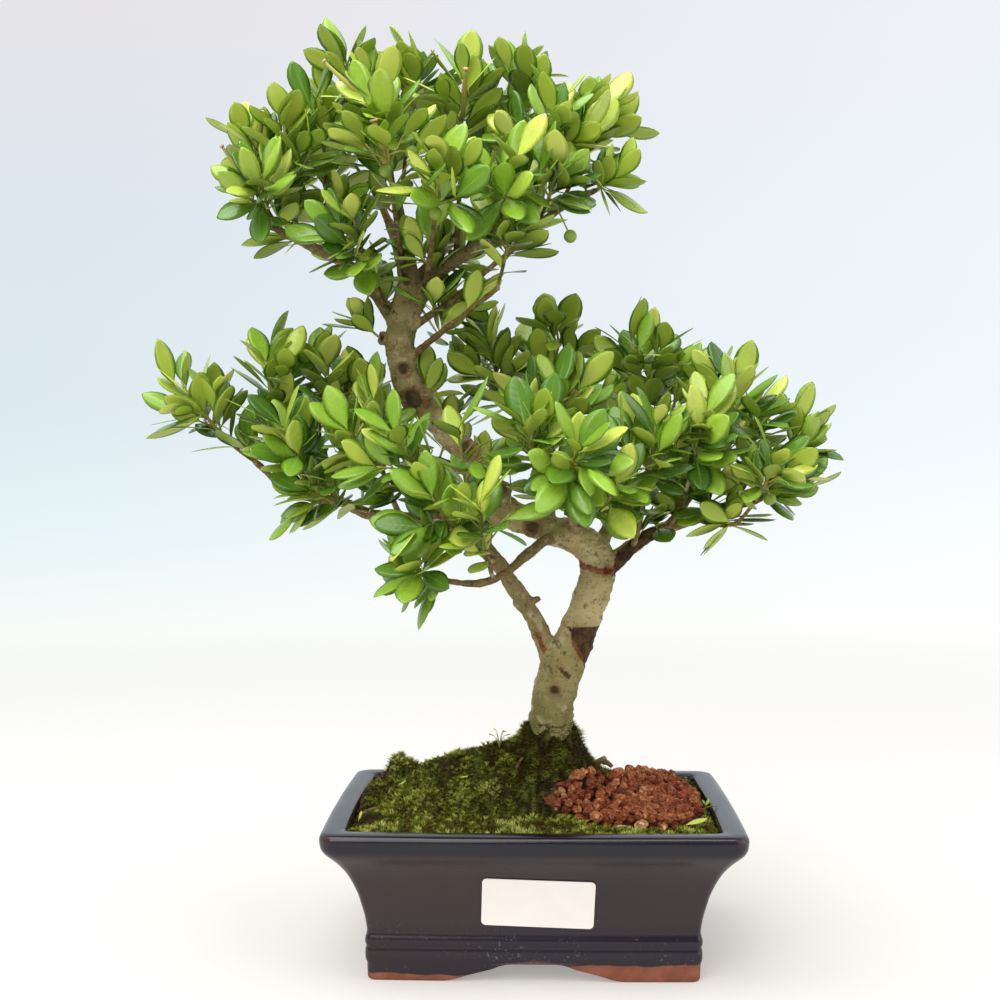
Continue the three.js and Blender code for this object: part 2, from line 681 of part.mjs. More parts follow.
// Green shoots of a spray: the leader, then one that branches off it.
function sprayShoots(stem, random) {
  const from = stem.woodShare + GAP / stem.length;
  const leader = curvePoints(stem.curve, from, 1, 2);
  const { point: root, along } = pointOnLine(leader, SIDE_SHOOT_PLACE);
  const out = outwards(along, 2 * Math.PI * random());
  const heading = along.multiplyScalar(0.72).addScaledVector(out, 0.7).normalize();
  const reach = SIDE_SHOOT_SHARE * leader[0].distanceTo(leader[2]);
  return [
    { points: leader, leaves: LEAVES_ON_LEADER },
    { points: [root, root.clone().addScaledVector(heading, reach)], leaves: LEAVES_ON_SIDE_SHOOT },
  ];
}

// Unit vector at right angles to a line, turned round it by an angle.
function outwards(along, angle) {
  const e1 = along.clone().cross(new THREE.Vector3(...REFERENCE)).normalize();
  const e2 = along.clone().cross(e1);
  return e1.multiplyScalar(Math.cos(angle)).addScaledVector(e2, Math.sin(angle));
}

function pointOnLine(points, share) {
  const place = share * (points.length - 1);
  const i = Math.min(Math.floor(place), points.length - 2);
  return {
    point: points[i].clone().lerp(points[i + 1], place - i),
    along: points[i + 1].clone().sub(points[i]).normalize(),
  };
}

// One leaf as its base, its direction, its upper side's normal, and its length and width.
function leafAt(points, share, azimuth, tilt, size) {
  const { point, along } = pointOnLine(points, share);
  const out = outwards(along, azimuth);
  const heading = along.clone().multiplyScalar(Math.cos(tilt)).addScaledVector(out, Math.sin(tilt));
  heading.z += 0.15;
  heading.normalize();
  const normal = along.clone().multiplyScalar(Math.sin(tilt)).addScaledVector(out, -Math.cos(tilt));
  normal.z += 0.5;
  normal.addScaledVector(heading, -normal.dot(heading)).normalize();
  return { base: point, heading, normal, length: LEAF_LENGTH * size, width: LEAF_WIDTH * size };
}

function leafPoint(leaf, share, side, lift = 0) {
  const across = leaf.normal.clone().cross(leaf.heading);
  return leaf.base.clone()
    .addScaledVector(leaf.heading, share * leaf.length)
    .addScaledVector(leaf.normal, lift - LEAF_ARCH * leaf.length * share * share)
    .addScaledVector(across, (side * leaf.width) / 2);
}

// Points spread over a leaf, for telling how near it comes to its neighbours.
function leafSamples(leaf) {
  const samples = [leafPoint(leaf, 1, 0)];
  for (const [share, side] of [...LEAF_OUTLINE, [0.32, 0.6], [0.65, 0.9]]) {
    for (const s of [-0.8, 0, 0.8]) samples.push(leafPoint(leaf, share, s * side));
  }
  return samples;
}

// Convex blade: a point in the shoot, its narrow stalk, two wide pairs, the tip, a raised middle.
function leafSolid(leaf) {
  const left = LEAF_OUTLINE.map(([share, side]) => leafPoint(leaf, share, side));
  const right = LEAF_OUTLINE.map(([share, side]) => leafPoint(leaf, share, -side));
  const ridge = leafPoint(leaf, LEAF_RIDGE, 0, LEAF_THICKNESS);
  const corners = [leaf.base, ...left, leafPoint(leaf, 1, 0), ...right.reverse(), ridge];
  const index = [
    0, 7, 8, 7, 6, 8, 6, 5, 8, 5, 4, 8, 4, 3, 8, 3, 2, 8, 2, 1, 8, 1, 0, 8,
    0, 1, 7, 1, 2, 6, 1, 6, 7, 2, 3, 5, 2, 5, 6, 3, 4, 5,
  ];
  return toSolid(meshGeometry(corners.flatMap((p) => [p.x, p.y, p.z]), index));
}

// True where a leaf keeps clear of the wood, and of leaves and shoots of the other sprays.
function isClear(samples, owner, taken) {
  return taken.every((other) => {
    const near = other.owner === owner ? other.ownReach : other.reach;
    return near === 0 || samples.every((p) => p.distanceToSquared(other.point) > near * near);
  });
}

// Leaves in a spiral up each shoot, each turned on where it would touch a neighbour.
function sprayLeaves(shoots, owner, random, taken) {
  const leaves = [];
  for (const shoot of shoots) {
    const phase = 2 * Math.PI * random();
    for (let i = 0; i < shoot.leaves; i += 1) {
      const share = 0.96 - (0.8 * (shoot.leaves - 1 - i)) / shoot.leaves;
      const size = 0.86 + 0.28 * random();
      for (let attempt = 0; attempt < LEAF_TRIES; attempt += 1) {
        const turn = i * GOLDEN_ANGLE + attempt * LEAF_RETRY_TURN;
        const lean = THREE.MathUtils.lerp(LEAF_LEAN.low, LEAF_LEAN.high, share);
        const azimuth = phase + THREE.MathUtils.degToRad(turn);
        const tilt = THREE.MathUtils.degToRad(lean + (attempt % 3) * LEAF_LEAN.step);
        const leaf = leafAt(shoot.points, share, azimuth, tilt, size);
        const samples = leafSamples(leaf);
        if (!isClear(samples, owner, taken)) continue;
        leaves.push(leaf);
        for (const point of samples) {
          taken.push({ point, owner, reach: LEAF_CLEARANCE, ownReach: OWN_LEAF_CLEARANCE });
        }
        break;
      }
    }
  }
  return leaves;
}

// Berry with its short stalk, from the nearest of a spray's shoots.
function berrySolids(berry, shoots) {
  const centre = new THREE.Vector3(...berry.centre);
  let root = pointOnLine(shoots[0].points, 1).point;
  for (const shoot of shoots) {
    for (let i = 3; i <= 10; i += 1) {
      const { point } = pointOnLine(shoot.points, i / 10);
      if (point.distanceTo(centre) < root.distanceTo(centre)) root = point;
    }
  }
  const ball = new THREE.SphereGeometry(BERRY_DIAMETER / 2, 7, 4);
  ball.rotateX(Math.PI / 2).translate(...berry.centre);
  return [toSolid(ball), toSolid(tube([root, centre], [0.5, 0.5], 3))];
}

// All sprays, with what each leaf has to keep clear of.
function growSprays() {
  const sprays = [];
  for (const [region, list] of Object.entries(SPRAYS)) {
    list.forEach((spray, i) => {
      const random = randomFrom(FIRST_SEED + SEED_STEP * sprays.length);
      const stem = sprayStem(spray);
      sprays.push({ name: `${region}_${i + 1}`, random, stem, shoots: sprayShoots(stem, random) });
    });
  }
  const taken = [];
  const takeLine = (points, radius, owner) => {
    for (let i = 0; i < points.length - 1; i += 1) {
      const steps = Math.ceil(points[i].distanceTo(points[i + 1]) / 3);
      for (let k = 0; k <= steps; k += 1) {
        const point = points[i].clone().lerp(points[i + 1], k / steps);
        taken.push({ point, owner, reach: radius + WOOD_CLEARANCE, ownReach: 0 });
      }
    }
  };
  for (const limb of Object.values(LIMBS)) takeLine(vectors(limb.points), limb.radii[1], null);
  for (const spray of sprays) {
    takeLine(twig(spray.stem).points, TWIG_RADIUS, null);
    for (const shoot of spray.shoots) takeLine(shoot.points, SHOOT_RADIUS, spray.name);
  }
  for (const berry of BERRIES) {
    const point = new THREE.Vector3(...berry.centre);
    const reach = BERRY_DIAMETER / 2 + BERRY_CLEARANCE;
    taken.push({ point, owner: null, reach, ownReach: 0 });
  }
  for (const spray of sprays) {
    spray.leaves = sprayLeaves(spray.shoots, spray.name, spray.random, taken);
    spray.berries = BERRIES.filter((berry) => berry.spray === spray.name);
  }
  return sprays;
}

function makeSpray(spray) {
  const [leader, ...others] = spray.shoots;
  const leaderRadii = [SHOOT_RADIUS, 0.9 * SHOOT_RADIUS, 0.75 * SHOOT_RADIUS];
  const solids = [toSolid(tube(leader.points, leaderRadii, 3))];
  for (const shoot of others) {
    solids.push(toSolid(tube(shoot.points, [0.7 * SIDE_SHOOT_RADIUS, SIDE_SHOOT_RADIUS], 3)));
  }
  for (const leaf of spray.leaves) solids.push(leafSolid(leaf));
  for (const berry of spray.berries) solids.push(...berrySolids(berry, spray.shoots));
  return fuse(solids);
}

// Trunk, limbs, pruned stubs and woody twigs grew as one piece.
function makeWood(sprays) {
  const solids = Object.values(LIMBS).map(({ points, radii, sides }) => (
    toSolid(tube(vectors(points), radii, sides))
  ));
  for (const stub of STUBS) {
    solids.push(toSolid(tube(vectors([stub.from, stub.to]), [stub.radius, stub.radius], 5)));
  }
  for (const spray of sprays) {
    const { points, radii } = twig(spray.stem);
    solids.push(toSolid(tube(points, radii, 3)));
  }
  return fuse(solids);
}

function material(color, roughness) {
  return new THREE.MeshStandardMaterial({ color, roughness, metalness: 0 });
}

const tree = new THREE.Group();

function addMesh(name, geometry, look) {
  const mesh = new THREE.Mesh(geometry, look);
  mesh.name = name;
  tree.add(mesh);
  return mesh;
}

addMesh('pot', toGeometry(makePot()), material(0x1b2233, 0.3));
[['drain_screen_left', -1], ['drain_screen_right', 1]].forEach(([name, side]) => {
  const screen = addMesh(name, toGeometry(makeScreen()), material(0x20221f, 0.6));
  screen.position.set(side * DRAIN_SPACING / 2, 0, FLOOR_TOP + GAP);
});
addMesh('label', toGeometry(makeLabel()), material(0xf2f2ee, 0.6));
addMesh('soil', toGeometry(makeSoil()), material(0x3a2a20, 0.95));
addMesh('moss_sheet', toGeometry(makeMossSheet()), material(0x4b5f24, 0.95));
addMesh('moss_back_right', toGeometry(mossPatch(MOSS_BACK_RIGHT)), material(0x55682a, 0.95));
addMesh('moss_front_right', toGeometry(mossPatch(MOSS_FRONT_RIGHT)), material(0x5d702c, 0.95));
addMesh('granules', toGeometry(makeGranules()), material(0x7a4030, 0.9));

const sprays = growSprays();
addMesh('wood', toGeometry(makeWood(sprays)), material(0x8a8468, 0.8));
for (const spray of sprays) {
  addMesh(`spray_${spray.name}`, toGeometry(makeSpray(spray)), material(0x4f8a34, 0.4));
}

// The origin is the middle of the footprint of the whole plant, on the ground.
tree.updateMatrixWorld(true);
const box = new THREE.Box3().setFromObject(tree, true);
tree.position.set(-(box.min.x + box.max.x) / 2, -(box.min.y + box.max.y) / 2, -box.min.z);

export default tree;
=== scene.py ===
import math
import random

import bmesh
import bpy
import numpy as np
from mathutils import Matrix, Vector, kdtree, noise


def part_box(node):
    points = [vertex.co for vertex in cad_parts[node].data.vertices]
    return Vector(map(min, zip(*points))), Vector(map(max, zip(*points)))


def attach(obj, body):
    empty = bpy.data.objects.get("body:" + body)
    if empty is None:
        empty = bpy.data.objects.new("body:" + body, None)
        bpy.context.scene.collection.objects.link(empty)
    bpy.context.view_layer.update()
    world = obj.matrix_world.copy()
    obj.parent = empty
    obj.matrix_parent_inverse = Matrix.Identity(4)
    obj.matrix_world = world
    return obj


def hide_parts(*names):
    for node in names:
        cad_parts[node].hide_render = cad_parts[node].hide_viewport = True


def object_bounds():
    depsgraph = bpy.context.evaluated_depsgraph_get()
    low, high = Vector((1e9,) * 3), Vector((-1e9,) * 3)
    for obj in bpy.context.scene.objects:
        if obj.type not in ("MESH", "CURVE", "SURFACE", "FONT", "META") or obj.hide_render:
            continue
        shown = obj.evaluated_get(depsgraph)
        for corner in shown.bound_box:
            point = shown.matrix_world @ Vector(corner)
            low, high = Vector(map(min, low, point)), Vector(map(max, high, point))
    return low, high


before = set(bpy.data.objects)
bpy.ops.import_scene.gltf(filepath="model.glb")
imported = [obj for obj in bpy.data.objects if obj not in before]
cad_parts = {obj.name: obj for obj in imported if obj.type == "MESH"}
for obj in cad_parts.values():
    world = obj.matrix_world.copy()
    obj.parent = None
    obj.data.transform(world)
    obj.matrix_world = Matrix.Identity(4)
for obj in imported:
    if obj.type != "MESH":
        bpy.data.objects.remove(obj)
cad_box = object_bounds()

# The studio: a camera at the height of the lower branches, a pale floor that runs up into a
# round pale wall, and wide soft lamps from above, from the front and from the right.
MM = 0.001
CAMERA_PLACE = (0.05, -674.9, 220.2)
CAMERA_PITCH, CAMERA_TURN = 88.944, 1.336
FOCAL_LENGTH, SENSOR_WIDTH = 52.13, 36
STUDIO_RADIUS, STUDIO_HEIGHT, STUDIO_CURVE = 3.2, 3.4, 1.5
# The name, power in watts, size in metres and place of each lamp.
LAMPS = [
    ("lamp_top", 28, 1.4, (-200, -250, 1500)),
    ("lamp_front", 13, 1.0, (-500, -1300, 900)),
    ("lamp_right", 5, 1.2, (1100, -500, 700)),
]
pot_low, pot_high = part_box("pot")
POT_X = (pot_low.x + pot_high.x) / 2
POT_Y = (pot_low.y + pot_high.y) / 2


def place(x, y, z):
    """A point given in millimetres from the middle of the pot's footprint."""
    return Vector((POT_X + x * MM, POT_Y + y * MM, z * MM))


def measured(point):
    """The same millimetres for a point of the scene."""
    return Vector(((point.x - POT_X) / MM, (point.y - POT_Y) / MM, point.z / MM))


def add_node(tree, kind, values=None, **settings):
    """A shader node with its settings; a value that is a socket is linked, any other is set."""
    node = tree.nodes.new("ShaderNode" + kind)
    for name, setting in settings.items():
        setattr(node, name, setting)
    for name, value in (values or {}).items():
        if isinstance(value, bpy.types.NodeSocket):
            tree.links.new(value, node.inputs[name])
        else:
            node.inputs[name].default_value = value
    return node


def colour(red, green, blue):
    """A colour given as 0 to 255 on a screen, as the shader's own light values."""
    light = []
    for part in (red / 255, green / 255, blue / 255):
        light.append(part / 12.92 if part <= 0.04045 else ((part + 0.055) / 1.055) ** 2.4)
    return (*light, 1.0)


def calculate(tree, operation, first, second=0.0, third=0.0):
    """The result of a sum on values or sockets."""
    node = add_node(tree, "Math", {0: first, 1: second, 2: third}, operation=operation)
    return node.outputs["Value"]


def rescale(tree, value, start, end, first=0.0, last=1.0):
    """A value rescaled so that start becomes first and end becomes last, and kept between them."""
    values = {"Value": value, "From Min": start, "From Max": end, "To Min": first, "To Max": last}
    return add_node(tree, "MapRange", values).outputs["Result"]


def ramp(tree, value, stops):
    """Colours that follow a value from 0 to 1; each stop is a value and its colour on a screen."""
    node = add_node(tree, "ValToRGB", {"Fac": value})
    elements = node.color_ramp.elements
    while len(elements) < len(stops):
        elements.new(0.5)
    for element, (position, tint) in zip(elements, stops):
        element.position = position
        element.color = colour(*tint)
    return node.outputs["Color"]


def mix(tree, factor, first, second):
    """One colour blended into another by a mask."""
    return add_node(tree, "Mix", {0: factor, 6: first, 7: second}, data_type="RGBA").outputs[2]


def new_material(name):
    """An empty material: its node tree, its main shader and the object's own coordinates."""
    material = bpy.data.materials.new(name)
    material.use_nodes = True
    tree = material.node_tree
    tree.nodes.clear()
    shader = add_node(tree, "BsdfPrincipled")
    add_node(tree, "OutputMaterial", {"Surface": shader.outputs["BSDF"]})
    where = add_node(tree, "TexCoord").outputs["Object"]
    return material, tree, shader, where


def connect(tree, socket, target):
    """Links a value that changes over the surface to a socket of the main shader."""
    tree.links.new(socket, target)


bpy.ops.object.select_all(action="DESELECT")
aim = (math.radians(CAMERA_PITCH), 0, math.radians(CAMERA_TURN))
bpy.ops.object.camera_add(location=place(*CAMERA_PLACE), rotation=aim)
camera = bpy.context.object
camera.data.lens = FOCAL_LENGTH
camera.data.sensor_width = SENSOR_WIDTH
camera.data.clip_start = 0.01
bpy.context.scene.camera = camera

bpy.ops.object.select_all(action="DESELECT")
bpy.ops.mesh.primitive_circle_add(vertices=96, radius=STUDIO_RADIUS, fill_type="NGON")
studio = bpy.context.object
studio.name = "studio_floor"
bpy.ops.object.mode_set(mode="EDIT")
bpy.ops.mesh.select_mode(type="EDGE")
bpy.ops.mesh.select_all(action="SELECT")
bpy.ops.mesh.region_to_loop()
bpy.ops.mesh.extrude_region_move(TRANSFORM_OT_translate={"value": (0, 0, STUDIO_HEIGHT)})
shell = bmesh.from_edit_mesh(studio.data)
for edge in shell.edges:
    edge.select = all(vertex.co.z < 0.01 for vertex in edge.verts)
bmesh.update_edit_mesh(studio.data)
bpy.ops.mesh.bevel(offset=STUDIO_CURVE, segments=24, affect="EDGES")
bpy.ops.object.mode_set(mode="OBJECT")
bpy.ops.object.shade_smooth()
studio_paint, tree, shader, where = new_material("studio_paint")
flat = add_node(tree, "VectorMath", {0: where, 1: (1, 1, 0)}, operation="MULTIPLY").outputs[0]
away = add_node(tree, "VectorMath", {0: flat}, operation="LENGTH").outputs["Value"]
axes = add_node(tree, "SeparateXYZ", {"Vector": where}).outputs
share = rescale(tree, calculate(tree, "ADD", away, axes["Z"]), 0.0, 5.0)
left_paint = ramp(tree, share, [
    (0.0, (254, 247, 240)), (0.12, (250, 249, 244)), (0.37, (240, 247, 245)),
    (0.48, (227, 241, 245)), (0.6, (219, 232, 238)), (0.79, (219, 228, 237)),
    (0.92, (228, 226, 230)),
])
right_paint = ramp(tree, share, [
    (0.0, (255, 252, 248)), (0.4, (255, 255, 255)), (0.5, (249, 253, 254)), (0.6, (240, 248, 252)),
    (0.92, (236, 239, 246)),
])
paint = mix(tree, rescale(tree, axes["X"], -1.1, 1.1), left_paint, right_paint)
far = rescale(tree, away, 0.25, 1.4)
lit = mix(tree, far, mix(tree, 0.52, paint, (0.0, 0.0, 0.0, 1.0)), (0.02, 0.02, 0.02, 1.0))
glow = rescale(tree, far, 0.0, 1.0, 0.34, 1.0)
behind = rescale(tree, axes["Y"], -1.6, -0.6, 0.18, 1.0)
seen = add_node(tree, "LightPath").outputs["Is Camera Ray"]
glow = calculate(tree, "MULTIPLY", glow, calculate(tree, "MAXIMUM", behind, seen))
connect(tree, lit, shader.inputs["Base Color"])
connect(tree, paint, shader.inputs["Emission Color"])
connect(tree, glow, shader.inputs["Emission Strength"])
shader.inputs["Roughness"].default_value = 1.0
shader.inputs["Specular IOR Level"].default_value = 0.0
studio_paint.cycles.emission_sampling = "NONE"
studio.data.materials.append(studio_paint)

for name, energy, size, at in LAMPS:
    bpy.ops.object.light_add(type="AREA", location=place(*at))
    lamp = bpy.context.object
    lamp.name = name
    lamp.data.energy = energy
    lamp.data.size = size
    lamp.rotation_euler = (place(0, 0, 200) - lamp.location).to_track_quat("-Z", "Y").to_euler()

world = bpy.data.worlds.new("studio_light")
bpy.context.scene.world = world
world.use_nodes = True
sky = world.node_tree.nodes["Background"].inputs
sky["Color"].default_value = (0.93, 0.97, 1.0, 1.0)
sky["Strength"].default_value = 0.5
bpy.context.scene.view_settings.view_transform = "Standard"

# The pot: a pressed stoneware tray with a broad lip, a hollow flaring wall and a ledge with two
# ribs over four low feet. It is dipped in dark glaze down to the feet, which stay bare red clay.
POT_WIDTH, POT_DEPTH, POT_BOW, POT_CORNER = 184.5, 143, 1, 7
FRONT_ARCH, SIDE_ARCH = 78, 48
DRAIN_RADIUS, DRAIN_PLACE = 6, 32
# The wall's profile from foot to inside, and the underside's: height and inset of each point.
WALL = [
    (0, 20), (0.5, 19.4), (1.4, 19), (4, 18.9), (7.2, 18.8), (8, 18.6), (8.8, 18.3), (10, 18.1),
    (12, 18), (13.4, 18.1), (14.2, 18.3), (14.9, 18.45), (15.6, 18.25), (16.4, 18), (17.4, 17.9),
    (18.4, 18), (19.6, 18.4), (20.8, 18.7), (22, 18.7), (24.4, 18.4), (27, 18), (30, 17.4),
    (32.6, 16.7), (35.4, 16), (38.2, 15.2), (41, 14.1), (44, 12.8), (47, 11.3), (49.8, 9.6),
    (52, 7.9), (53.9, 6.3), (55.6, 4.6), (57, 3.2), (58.3, 2), (59.6, 1.1), (61, 0.5), (62.6, 0.2),
    (65, 0), (66.2, 0.3), (67, 1.1), (67.4, 2.2), (67.5, 5), (67.4, 8.6), (67.1, 9.9), (66.4, 10.5),
    (65, 10.7), (62, 11), (56, 13.5), (48, 17.6), (40, 22.5), (26, 24.5), (15, 25.8), (13.4, 26.4),
    (13, 28),
]
UNDERSIDE = [(8, 30), (7.6, 28.8), (6.6, 28.2), (0.8, 28), (0, 27.2)]
# Half of the arch between two feet: share of its half width, and height.
HALF_ARCH = [
    (1.0, -1), (1.0, 0), (0.88, 1), (0.74, 2.8), (0.6, 4.2), (0.47, 5.5), (0.38, 6.9), (0.31, 7.6),
    (0.24, 7.8),
]


def pot_ring(inset, height):
    """The pot's plan at one height: rounded corners joined by sides that bow out a little."""
    half_width, half_depth = POT_WIDTH / 2 - POT_BOW - inset, POT_DEPTH / 2 - POT_BOW - inset
    radius = max(POT_CORNER - inset / 4, 3)
    ring = []
    for sx, sy, start in [(1, 1, 0), (-1, 1, 90), (-1, -1, 180), (1, -1, 270)]:
        for step in range(9):
            angle = math.radians(start + 11.25 * step)
            x = sx * (half_width - radius) + radius * math.cos(angle)
            y = sy * (half_depth - radius) + radius * math.sin(angle)
            ring.append(place(x, y, height))
        for step in range(1, 12):
            t = 1 - step / 6
            bow = POT_BOW * (1 - t * t)
            if start % 180 == 0:
                ring.append(place(sx * t * (half_width - radius), sy * (half_depth + bow), height))
            else:
                ring.append(place(sx * (half_width + bow), sy * t * (half_depth - radius), height))
    return ring


def loft(rings):
    """Points and faces of a closed body through rings of points, capped at both ends."""
    count = len(rings[0])
    points = [tuple(point) for ring in rings for point in ring]
    faces = [tuple(reversed(range(count))), tuple(range(len(points) - count, len(points)))]
    for row in range(len(rings) - 1):
        for i in range(count):
            a, b = row * count + i, row * count + (i + 1) % count
            faces.append((a, b, b + count, a + count))
    return points, faces


def new_piece(name, points, faces):
    """A new mesh object at the origin, selected and active."""
    mesh = bpy.data.meshes.new(name)
    mesh.from_pydata(points, [], faces)
    piece = bpy.data.objects.new(name, mesh)
    bpy.context.scene.collection.objects.link(piece)
    bpy.ops.object.select_all(action="DESELECT")
    piece.select_set(True)
    bpy.context.view_layer.objects.active = piece
    return piece


def apply_modifier(piece, kind, **settings):
    """Gives the active piece a modifier with its settings and applies it."""
    modifier = piece.modifiers.new(kind.lower(), kind)
    for name, setting in settings.items():
        setattr(modifier, name, setting)
    bpy.ops.object.modifier_apply(modifier=modifier.name)


def turn_outwards():
    """Turns every face of the active piece outwards."""
    bpy.ops.object.mode_set(mode="EDIT")
    bpy.ops.mesh.select_all(action="SELECT")
    bpy.ops.mesh.normals_make_consistent(inside=False)
    bpy.ops.object.mode_set(mode="OBJECT")


def cut_away(piece, cutter):
    """Cuts one body out of another, then removes the cutter."""
    bpy.ops.object.select_all(action="DESELECT")
    bpy.context.view_layer.objects.active = piece
    piece.select_set(True)
    apply_modifier(piece, "BOOLEAN", operation="DIFFERENCE", solver="EXACT", object=cutter)
    bpy.data.objects.remove(cutter)


pot = new_piece("glazed_pot", *loft([pot_ring(inset, z) for z, inset in UNDERSIDE + WALL]))
for width, turned in [(FRONT_ARCH, False), (SIDE_ARCH, True)]:
    outline = [(share * width / 2, z) for share, z in HALF_ARCH]
    outline += [(-x, z) for x, z in reversed(outline)]
    rings = []
    for reach in (-120, 120):
        rings.append([place(reach, x, z) if turned else place(x, reach, z) for x, z in outline])
    arch = new_piece("arch", *loft(rings))
    turn_outwards()
    cut_away(pot, arch)
for side in (-1, 1):
    middle = place(side * DRAIN_PLACE, 0, 9)
    bpy.ops.mesh.primitive_cylinder_add(
        vertices=48, radius=DRAIN_RADIUS * MM, depth=30 * MM, location=middle
    )
    cut_away(pot, bpy.context.object)
apply_modifier(pot, "BEVEL", width=0.5 * MM, segments=2, angle_limit=math.radians(50))
bpy.ops.object.shade_smooth_by_angle(angle=math.radians(40))

speckles = bpy.data.node_groups.new("speckles", "ShaderNodeTree")
for name, kind, value in [
    ("Place", "Vector", (0, 0, 0)), ("Scale", "Float", 100), ("Rough", "Float", 0.5),
    ("Low", "Float", 0.4), ("High", "Float", 0.6),
]:
    socket = speckles.interface.new_socket(name, in_out="INPUT", socket_type="NodeSocket" + kind)
    socket.default_value = value
speckles.interface.new_socket("Mask", in_out="OUTPUT", socket_type="NodeSocketFloat")
inputs = speckles.nodes.new("NodeGroupInput").outputs
cloud = add_node(speckles, "TexNoise", {
    "Vector": inputs["Place"], "Scale": inputs["Scale"], "Detail": 4.0,
    "Roughness": inputs["Rough"],
})
span = rescale(speckles, cloud.outputs["Fac"], inputs["Low"], inputs["High"])
speckles.links.new(span, speckles.nodes.new("NodeGroupOutput").inputs["Mask"])


def mask(tree, where, scale, low, high, rough=0.5):
    """Soft random patches from 0 to 1; low and high are where they begin and end."""
    group = tree.nodes.new("ShaderNodeGroup")
    group.node_tree = speckles
    tree.links.new(where, group.inputs["Place"])
    for name, value in {"Scale": scale, "Rough": rough, "Low": low, "High": high}.items():
        group.inputs[name].default_value = value
    return group.outputs["Mask"]


def bump(tree, shader, height, strength, distance):
    """Fine relief in the shader's normal."""
    node = add_node(tree, "Bump", {"Height": height, "Strength": strength, "Distance": distance})
    tree.links.new(node.outputs["Normal"], shader.inputs["Normal"])


glaze, tree, shader, where = new_material("dark_glaze")
axes = add_node(tree, "SeparateXYZ", {"Vector": where}).outputs
wander = calculate(tree, "MULTIPLY_ADD", mask(tree, where, 60, 0.3, 0.7), 0.0016, 0.0024)
slope = rescale(tree, axes["X"], POT_X - 0.004, POT_X + 0.024, 0.0, 0.0044)
line = calculate(tree, "ADD", wander, slope)
bare = rescale(tree, calculate(tree, "SUBTRACT", axes["Z"], line), 0.0003, -0.0003)
clouds = mask(tree, where, 14, 0.35, 0.65)
coat = mix(tree, clouds, colour(54, 38, 37), colour(42, 32, 35))
# Painted shade: the coat is much darker on the lip and the rim than on the wall, which keeps the
# rim's face dark.
lip = rescale(tree, axes["Z"], 0.055, 0.061)
coat = mix(tree, lip, coat, mix(tree, clouds, colour(16, 13, 22), colour(12, 14, 30)))
# Painted shade under the flaring wall: the coat grows darker from 26 mm down to the ledge and the
# feet.
shaded_waist = calculate(tree, "MULTIPLY", rescale(tree, axes["Z"], 0.026, 0.019), 0.75)
coat = mix(tree, shaded_waist, coat, mix(tree, clouds, colour(36, 24, 26), colour(24, 20, 38)))
worn = rescale(tree, add_node(tree, "NewGeometry").outputs["Pointiness"], 0.53, 0.6)
coat = mix(tree, worn, coat, colour(98, 66, 66))
low_wall = rescale(tree, axes["Z"], 0.034, 0.012)
chalk = calculate(tree, "MULTIPLY", mask(tree, where, 760, 0.62, 0.74), low_wall)
chalk = calculate(tree, "MULTIPLY", chalk, mask(tree, where, 60, 0.45, 0.6))
coat = mix(tree, chalk, coat, colour(116, 104, 92))
clay = mix(tree, mask(tree, where, 180, 0.35, 0.65), colour(124, 70, 50), colour(146, 88, 64))
connect(tree, mix(tree, bare, coat, clay), shader.inputs["Base Color"])
gloss = calculate(tree, "MULTIPLY_ADD", mask(tree, where, 30, 0.3, 0.7), 0.07, 0.19)
shader.inputs["IOR"].default_value = 1.46
gloss = calculate(tree, "MULTIPLY_ADD", chalk, 0.4, gloss)
gloss = calculate(tree, "MAXIMUM", gloss, calculate(tree, "MULTIPLY", bare, 0.85))
connect(tree, gloss, shader.inputs["Roughness"])
bump(tree, shader, mask(tree, where, 260, 0.2, 0.8), 0.08, 0.0004)
pot.data.materials.append(glaze)
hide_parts("pot")
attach(pot, "root")

# The drain screens: squares of coarse dark plastic mesh that lie over the two drain holes and
# keep the soil in. They are carried over from the frame.
plastic, tree, shader, where = new_material("screen_plastic")
dust = mix(tree, mask(tree, where, 300, 0.4, 0.6), colour(34, 36, 34), colour(58, 52, 44))
connect(tree, dust, shader.inputs["Base Color"])
dull = calculate(tree, "MULTIPLY_ADD", mask(tree, where, 500, 0.3, 0.7), 0.3, 0.45)
connect(tree, dull, shader.inputs["Roughness"])
for name in ("drain_screen_left", "drain_screen_right"):
    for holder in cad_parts[name].material_slots:
        holder.material = plastic

# The label: a blank slip of white coated paper with rounded corners, stuck a little crooked on
# the front wall so that it follows the wall's curve.
LABEL_WIDTH, LABEL_HEIGHT, LABEL_CORNER, LABEL_TILT = 48.5, 22, 2, 2
LABEL_X, LABEL_Z = 2, 35.6
outer_wall = WALL[:38]
wall_heights = [z for z, inset in outer_wall]
wall_insets = [inset for z, inset in outer_wall]
bpy.ops.object.select_all(action="DESELECT")
bpy.ops.mesh.primitive_plane_add(size=1, location=(0, 0, 0))
label = bpy.context.object
label.name = "paper_label"
bpy.ops.object.mode_set(mode="EDIT")
bpy.ops.mesh.select_all(action="SELECT")
bpy.ops.transform.resize(value=(LABEL_WIDTH * MM, LABEL_HEIGHT * MM, 1))
bpy.ops.mesh.bevel(offset=LABEL_CORNER * MM, segments=6, affect="VERTICES")
for step in range(-6, 7):
    bpy.ops.mesh.select_all(action="SELECT")
    bpy.ops.mesh.bisect(plane_co=(0, step * 1.6 * MM, 0), plane_no=(0, 1, 0))
for step in range(-11, 12):
    bpy.ops.mesh.select_all(action="SELECT")
    bpy.ops.mesh.bisect(plane_co=(step * 2 * MM, 0, 0), plane_no=(1, 0, 0))
bpy.ops.object.mode_set(mode="OBJECT")
tilt = math.radians(LABEL_TILT)
